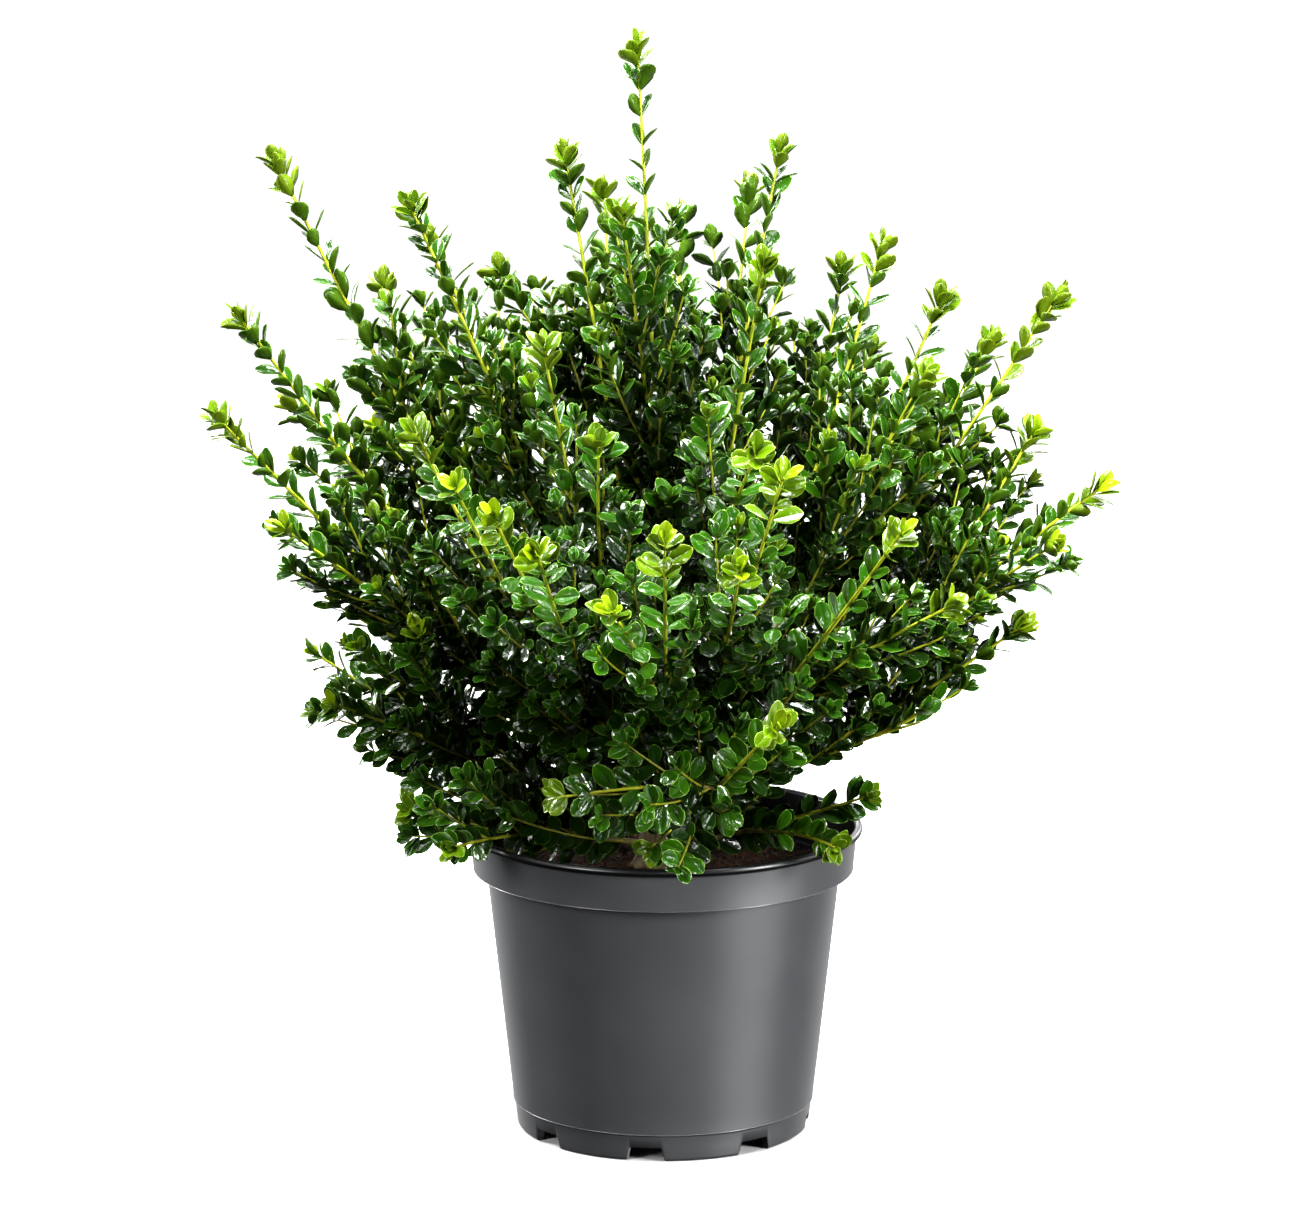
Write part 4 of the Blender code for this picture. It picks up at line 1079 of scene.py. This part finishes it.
# The right side, which has the sun, and the low shoots at the left are painted lighter as well:
# painted light.
low_left = np.clip((-leaves["root"][:, 0] - 0.04) / 0.12, 0.0, 1.0)
low_left = low_left * np.clip((0.37 - leaves["root"][:, 2]) / 0.08, 0.0, 1.0)
youth_and_light += 0.24 * np.clip((leaves["root"][:, 0] - 0.04) / 0.16, 0.0, 1.0) + 0.26 * low_left
tone = np.select([youth_and_light > 1.20, youth_and_light > 0.56], [2, 1], 0)
young = leaves["tuft"] & ((leaves["rank"] == 0) | ((spray_tone > 0.62) & (outer > 0.50)))
newest = young & (leaves["share"] > 0.985) & (leaves["root"][:, 2] < 0.45) & (leaves["root"][:, 2] > 0.25)
tone = np.where(leaves["tuft"], np.maximum(tone, 1), tone)
tone = np.where(young & (leaves["share"] > 0.96), 2, tone)
tone = np.where(newest, 3, tone)
coarse = (tone == 0) | ((leaves["rank"] == 1) & (leaves["root"][:, 1] > -0.02))
shape = np.random.default_rng(29).integers(0, len(BENDS), len(tone)) + len(BENDS) * coarse


def leaf_finish(name, dark, light, roughness, coat):
    """Waxy leaf skin: two tones that wander over 15 mm, and a wax coat over a matt green,
    so that the shine comes in clear spots and the colour between them stays full."""
    material, tree, shader = new_material(name, Roughness=roughness, Coat_Weight=coat,
                                          Coat_Roughness=0.10, Specular_IOR_Level=0.08)
    placed = two_tones(tree, shader, dark, light, 0.015, low=0.30, high=0.70)
    skin = add_node(tree, "ShaderNodeTexNoise", Vector=placed, Scale=1.0 / 0.0035, Detail=1.0)
    add_bump(tree, shader, skin.outputs["Fac"], 0.00030)
    tree.links.new(shader.inputs["Normal"].links[0].from_socket, shader.inputs["Coat Normal"])
    return material


def tiled_leaves(chosen):
    """Points and faces of the chosen leaves: each template's points times the leaf's size,
    turned by its three axes and moved to its root."""
    points, faces, slots, offset = [], [], [], 0
    for number, (template, groups) in enumerate(templates):
        these = np.flatnonzero(chosen & (shape == number))
        turned = np.einsum("nij,vj->nvi", leaves["axes"][these], template)
        placed = leaves["root"][these][:, None] + leaves["size"][these][:, None, None] * turned
        points.append(placed.reshape(-1, 3))
        start = offset + (np.arange(len(these)) * len(template))[:, None, None]
        for face, slot in groups:
            faces.append((face[None] + start).reshape(-1, face.shape[1]))
            slots.append(slot)
        offset += len(these) * len(template)
    return np.concatenate(points), faces, slots


MOST_TRIANGLES = 190000
# The edge strip's pale colour is a painted highlight for the light its rim catches; on the deep tone it is darker,
# as painted shade.
for number, (name, (dark, light, rim_highlight_colour, under)) in enumerate(TONES.items()):
    finish = [leaf_finish(name + "_waxy_leaf", dark, light, 0.34, 1.0),
              leaf_finish(name + "_leaf_edge_painted_highlight", rim_highlight_colour, rim_highlight_colour, 0.35, 0.30),
              leaf_finish(name + "_leaf_underside", under, under, 0.50, 0.35)]
    members = np.flatnonzero(tone == number)
    most = MOST_TRIANGLES // max(leaf_triangles[k] for k in np.unique(shape[members]))
    for part, low in enumerate(range(0, len(members), most)):
        chosen = np.zeros(len(tone), bool)
        chosen[members[low:low + most]] = True
        points, faces, slots = tiled_leaves(chosen)
        blades = new_piece(f"leaves_{name}_{part + 1}", points, faces, finish, slots)
        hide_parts(*foliage_nodes)
print("leaves of each tone:", {name: int((tone == k).sum()) for k, name in enumerate(TONES)})

# %% [markdown]
# ## Studio
#
# A plain white floor that runs out of sight, a bright sky of even white, and four soft
# boxes: one above and in front, one low at the front left, and a tall one at each side for the
# edges of the pot.

# %% Floor
FLOOR_HALF = 3.0
floor_points = np.array([(-1, -1, 0), (1, -1, 0), (1, 1, 0), (-1, 1, 0)]) * FLOOR_HALF
floor_mesh = bpy.data.meshes.new("studio_floor")
floor_mesh.from_pydata(floor_points.tolist(), [], [(0, 1, 2, 3)])
studio_floor = bpy.data.objects.new("studio_floor", floor_mesh)
bpy.context.scene.collection.objects.link(studio_floor)
matt_white, tree, shader = new_material("matt_white_card", Roughness=0.9, Specular_IOR_Level=0.1,
                                        Emission_Color=(1.0, 1.0, 1.0, 1.0))
placed = two_tones(tree, shader, "#E6E6E6", "#E8E8E8", 0.5)
# The card glows white away from the pot, and close to it only takes the lights and shadows,
# a little farther out on the left, where the photograph has its faint shadow.
shifted = add_node(tree, "ShaderNodeVectorMath", {"operation": "ADD"}, Vector=placed)
shifted.inputs[1].default_value = (0.025, 0.020, 0.0)
from_pot = add_node(tree, "ShaderNodeVectorMath", {"operation": "LENGTH"}, Vector=shifted.outputs["Vector"])
glow = add_node(tree, "ShaderNodeMapRange", Value=from_pot.outputs["Value"])
for socket, value in (("From Min", 0.10), ("From Max", 0.145), ("To Min", 0.0), ("To Max", 1.0)):
    glow.inputs[socket].default_value = value
tree.links.new(glow.outputs["Result"], shader.inputs["Emission Strength"])
floor_mesh.materials.append(matt_white)
studio_floor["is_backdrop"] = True
# The floor shows white and takes the shadow, but sends no light up into the crown.
studio_floor.visible_diffuse = False
studio_floor.visible_glossy = False

# %% Lights


def soft_box(name, place, target, width, height, watts):
    """A rectangular area light at a place, turned to face a target."""
    data = bpy.data.lights.new(name, "AREA")
    data.shape = "RECTANGLE"
    data.size, data.size_y, data.energy = width, height, watts
    box = bpy.data.objects.new(name, data)
    bpy.context.scene.collection.objects.link(box)
    away = np.array(target) - np.array(place)
    box.location = place
    flat = math.hypot(away[0], away[1])
    box.rotation_euler = (math.atan2(flat, -away[2]), 0.0, math.atan2(away[1], away[0]) - 0.5 * math.pi)
    return box


soft_box("top_box", (0.0, -0.30, 2.0), (0.0, 0.0, 0.35), 1.3, 1.0, 150.0)
soft_box("key_box", (-1.6, -1.5, 1.0), (0.0, 0.0, 0.35), 0.6, 0.9, 36.0)
soft_box("right_box", (1.35, -0.90, 0.5), (0.0, 0.0, 0.20), 0.28, 1.0, 46.0)
soft_box("left_box", (-1.4, 0.70, 0.9), (0.0, 0.0, 0.35), 0.4, 1.2, 45.0)

world = bpy.data.worlds.new("white_studio")
world.use_nodes = True
bpy.context.scene.world = world
sky = world.node_tree
for node in list(sky.nodes):
    sky.nodes.remove(node)
seen = add_node(sky, "ShaderNodeBackground", Color=(1.0, 1.0, 1.0, 1.0), Strength=1.0)
# A shiny surface mirrors a white backdrop behind the plant and a dark room in front of it.
# Everything else gets only a little light from the room.
toward = add_node(sky, "ShaderNodeTexCoord").outputs["Generated"]
apart = add_node(sky, "ShaderNodeSeparateXYZ", Vector=toward)
behind = add_node(sky, "ShaderNodeMapRange", Value=apart.outputs["Y"])
behind.inputs["From Min"].default_value = 0.45
behind.inputs["From Max"].default_value = 1.00
behind.inputs["To Min"].default_value = 0.005
behind.inputs["To Max"].default_value = 0.90
# Above the plant hang white panels with dark gaps between them, so each leaf shows a spot.
panels = add_node(sky, "ShaderNodeTexNoise", Vector=toward, Scale=4.0, Detail=0.0)
lit = add_node(sky, "ShaderNodeMapRange", Value=panels.outputs["Fac"])
raised = add_node(sky, "ShaderNodeMapRange", Value=apart.outputs["Z"])
for node, ends in ((lit, (0.56, 0.62, 0.0, 9.0)), (raised, (0.05, 0.20, 0.0, 1.0))):
    for socket, value in zip(("From Min", "From Max", "To Min", "To Max"), ends):
        node.inputs[socket].default_value = value
above = add_node(sky, "ShaderNodeMath", {"operation": "MULTIPLY_ADD"})
for slot, socket in enumerate((lit.outputs["Result"], raised.outputs["Result"], behind.outputs["Result"])):
    sky.links.new(socket, above.inputs[slot])
# A pot that tapers mirrors the table, and on it the streak of the box at the right.
streak = add_node(sky, "ShaderNodeVectorMath", {"operation": "DOT_PRODUCT"}, Vector=toward)
streak.inputs[1].default_value = (0.883, -0.469, 0.0)
beside = add_node(sky, "ShaderNodeMapRange", Value=streak.outputs["Value"])
lower = add_node(sky, "ShaderNodeMapRange", Value=apart.outputs["Z"])
for node, ends in ((beside, (0.80, 0.92, 0.0, 1.9)), (lower, (0.05, -0.15, 0.0, 1.0))):
    for socket, value in zip(("From Min", "From Max", "To Min", "To Max"), ends):
        node.inputs[socket].default_value = value
all_round = add_node(sky, "ShaderNodeMath", {"operation": "MULTIPLY_ADD"})
for slot, socket in enumerate((beside.outputs["Result"], lower.outputs["Result"], above.outputs[0])):
    sky.links.new(socket, all_round.inputs[slot])
mirrored = add_node(sky, "ShaderNodeBackground", Color=(1.0, 1.0, 1.0, 1.0), Strength=all_round.outputs[0])
room = add_node(sky, "ShaderNodeBackground", Color=(1.0, 1.0, 1.0, 1.0), Strength=0.05)
ray = add_node(sky, "ShaderNodeLightPath")
unseen = add_node(sky, "ShaderNodeMixShader", Fac=ray.outputs["Is Glossy Ray"])
sky.links.new(room.outputs[0], unseen.inputs[1])
sky.links.new(mirrored.outputs[0], unseen.inputs[2])
mixed = add_node(sky, "ShaderNodeMixShader", Fac=ray.outputs["Is Camera Ray"])
sky.links.new(unseen.outputs[0], mixed.inputs[1])
sky.links.new(seen.outputs[0], mixed.inputs[2])
out_node = add_node(sky, "ShaderNodeOutputWorld", Surface=mixed.outputs[0])
bpy.context.scene.view_settings.view_transform = "Standard"
# A studio photograph is printed with more contrast than a plain screen picture.
bpy.context.scene.view_settings.gamma = 0.86
bpy.context.scene.view_settings.exposure = 0.15

# %% [markdown]
# ## The size, and the end
#
# The dressed plant has to stay the size of the model. The last line prints how far the
# scene's box reaches past the model's box, in millimetres.

# %% Size and finish
low, high = (list(corner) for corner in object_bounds())
print("over the model's box, mm:", np.round(1000 * (np.array(cad_low) - low), 1),
      np.round(1000 * (np.array(high) - cad_high), 1))
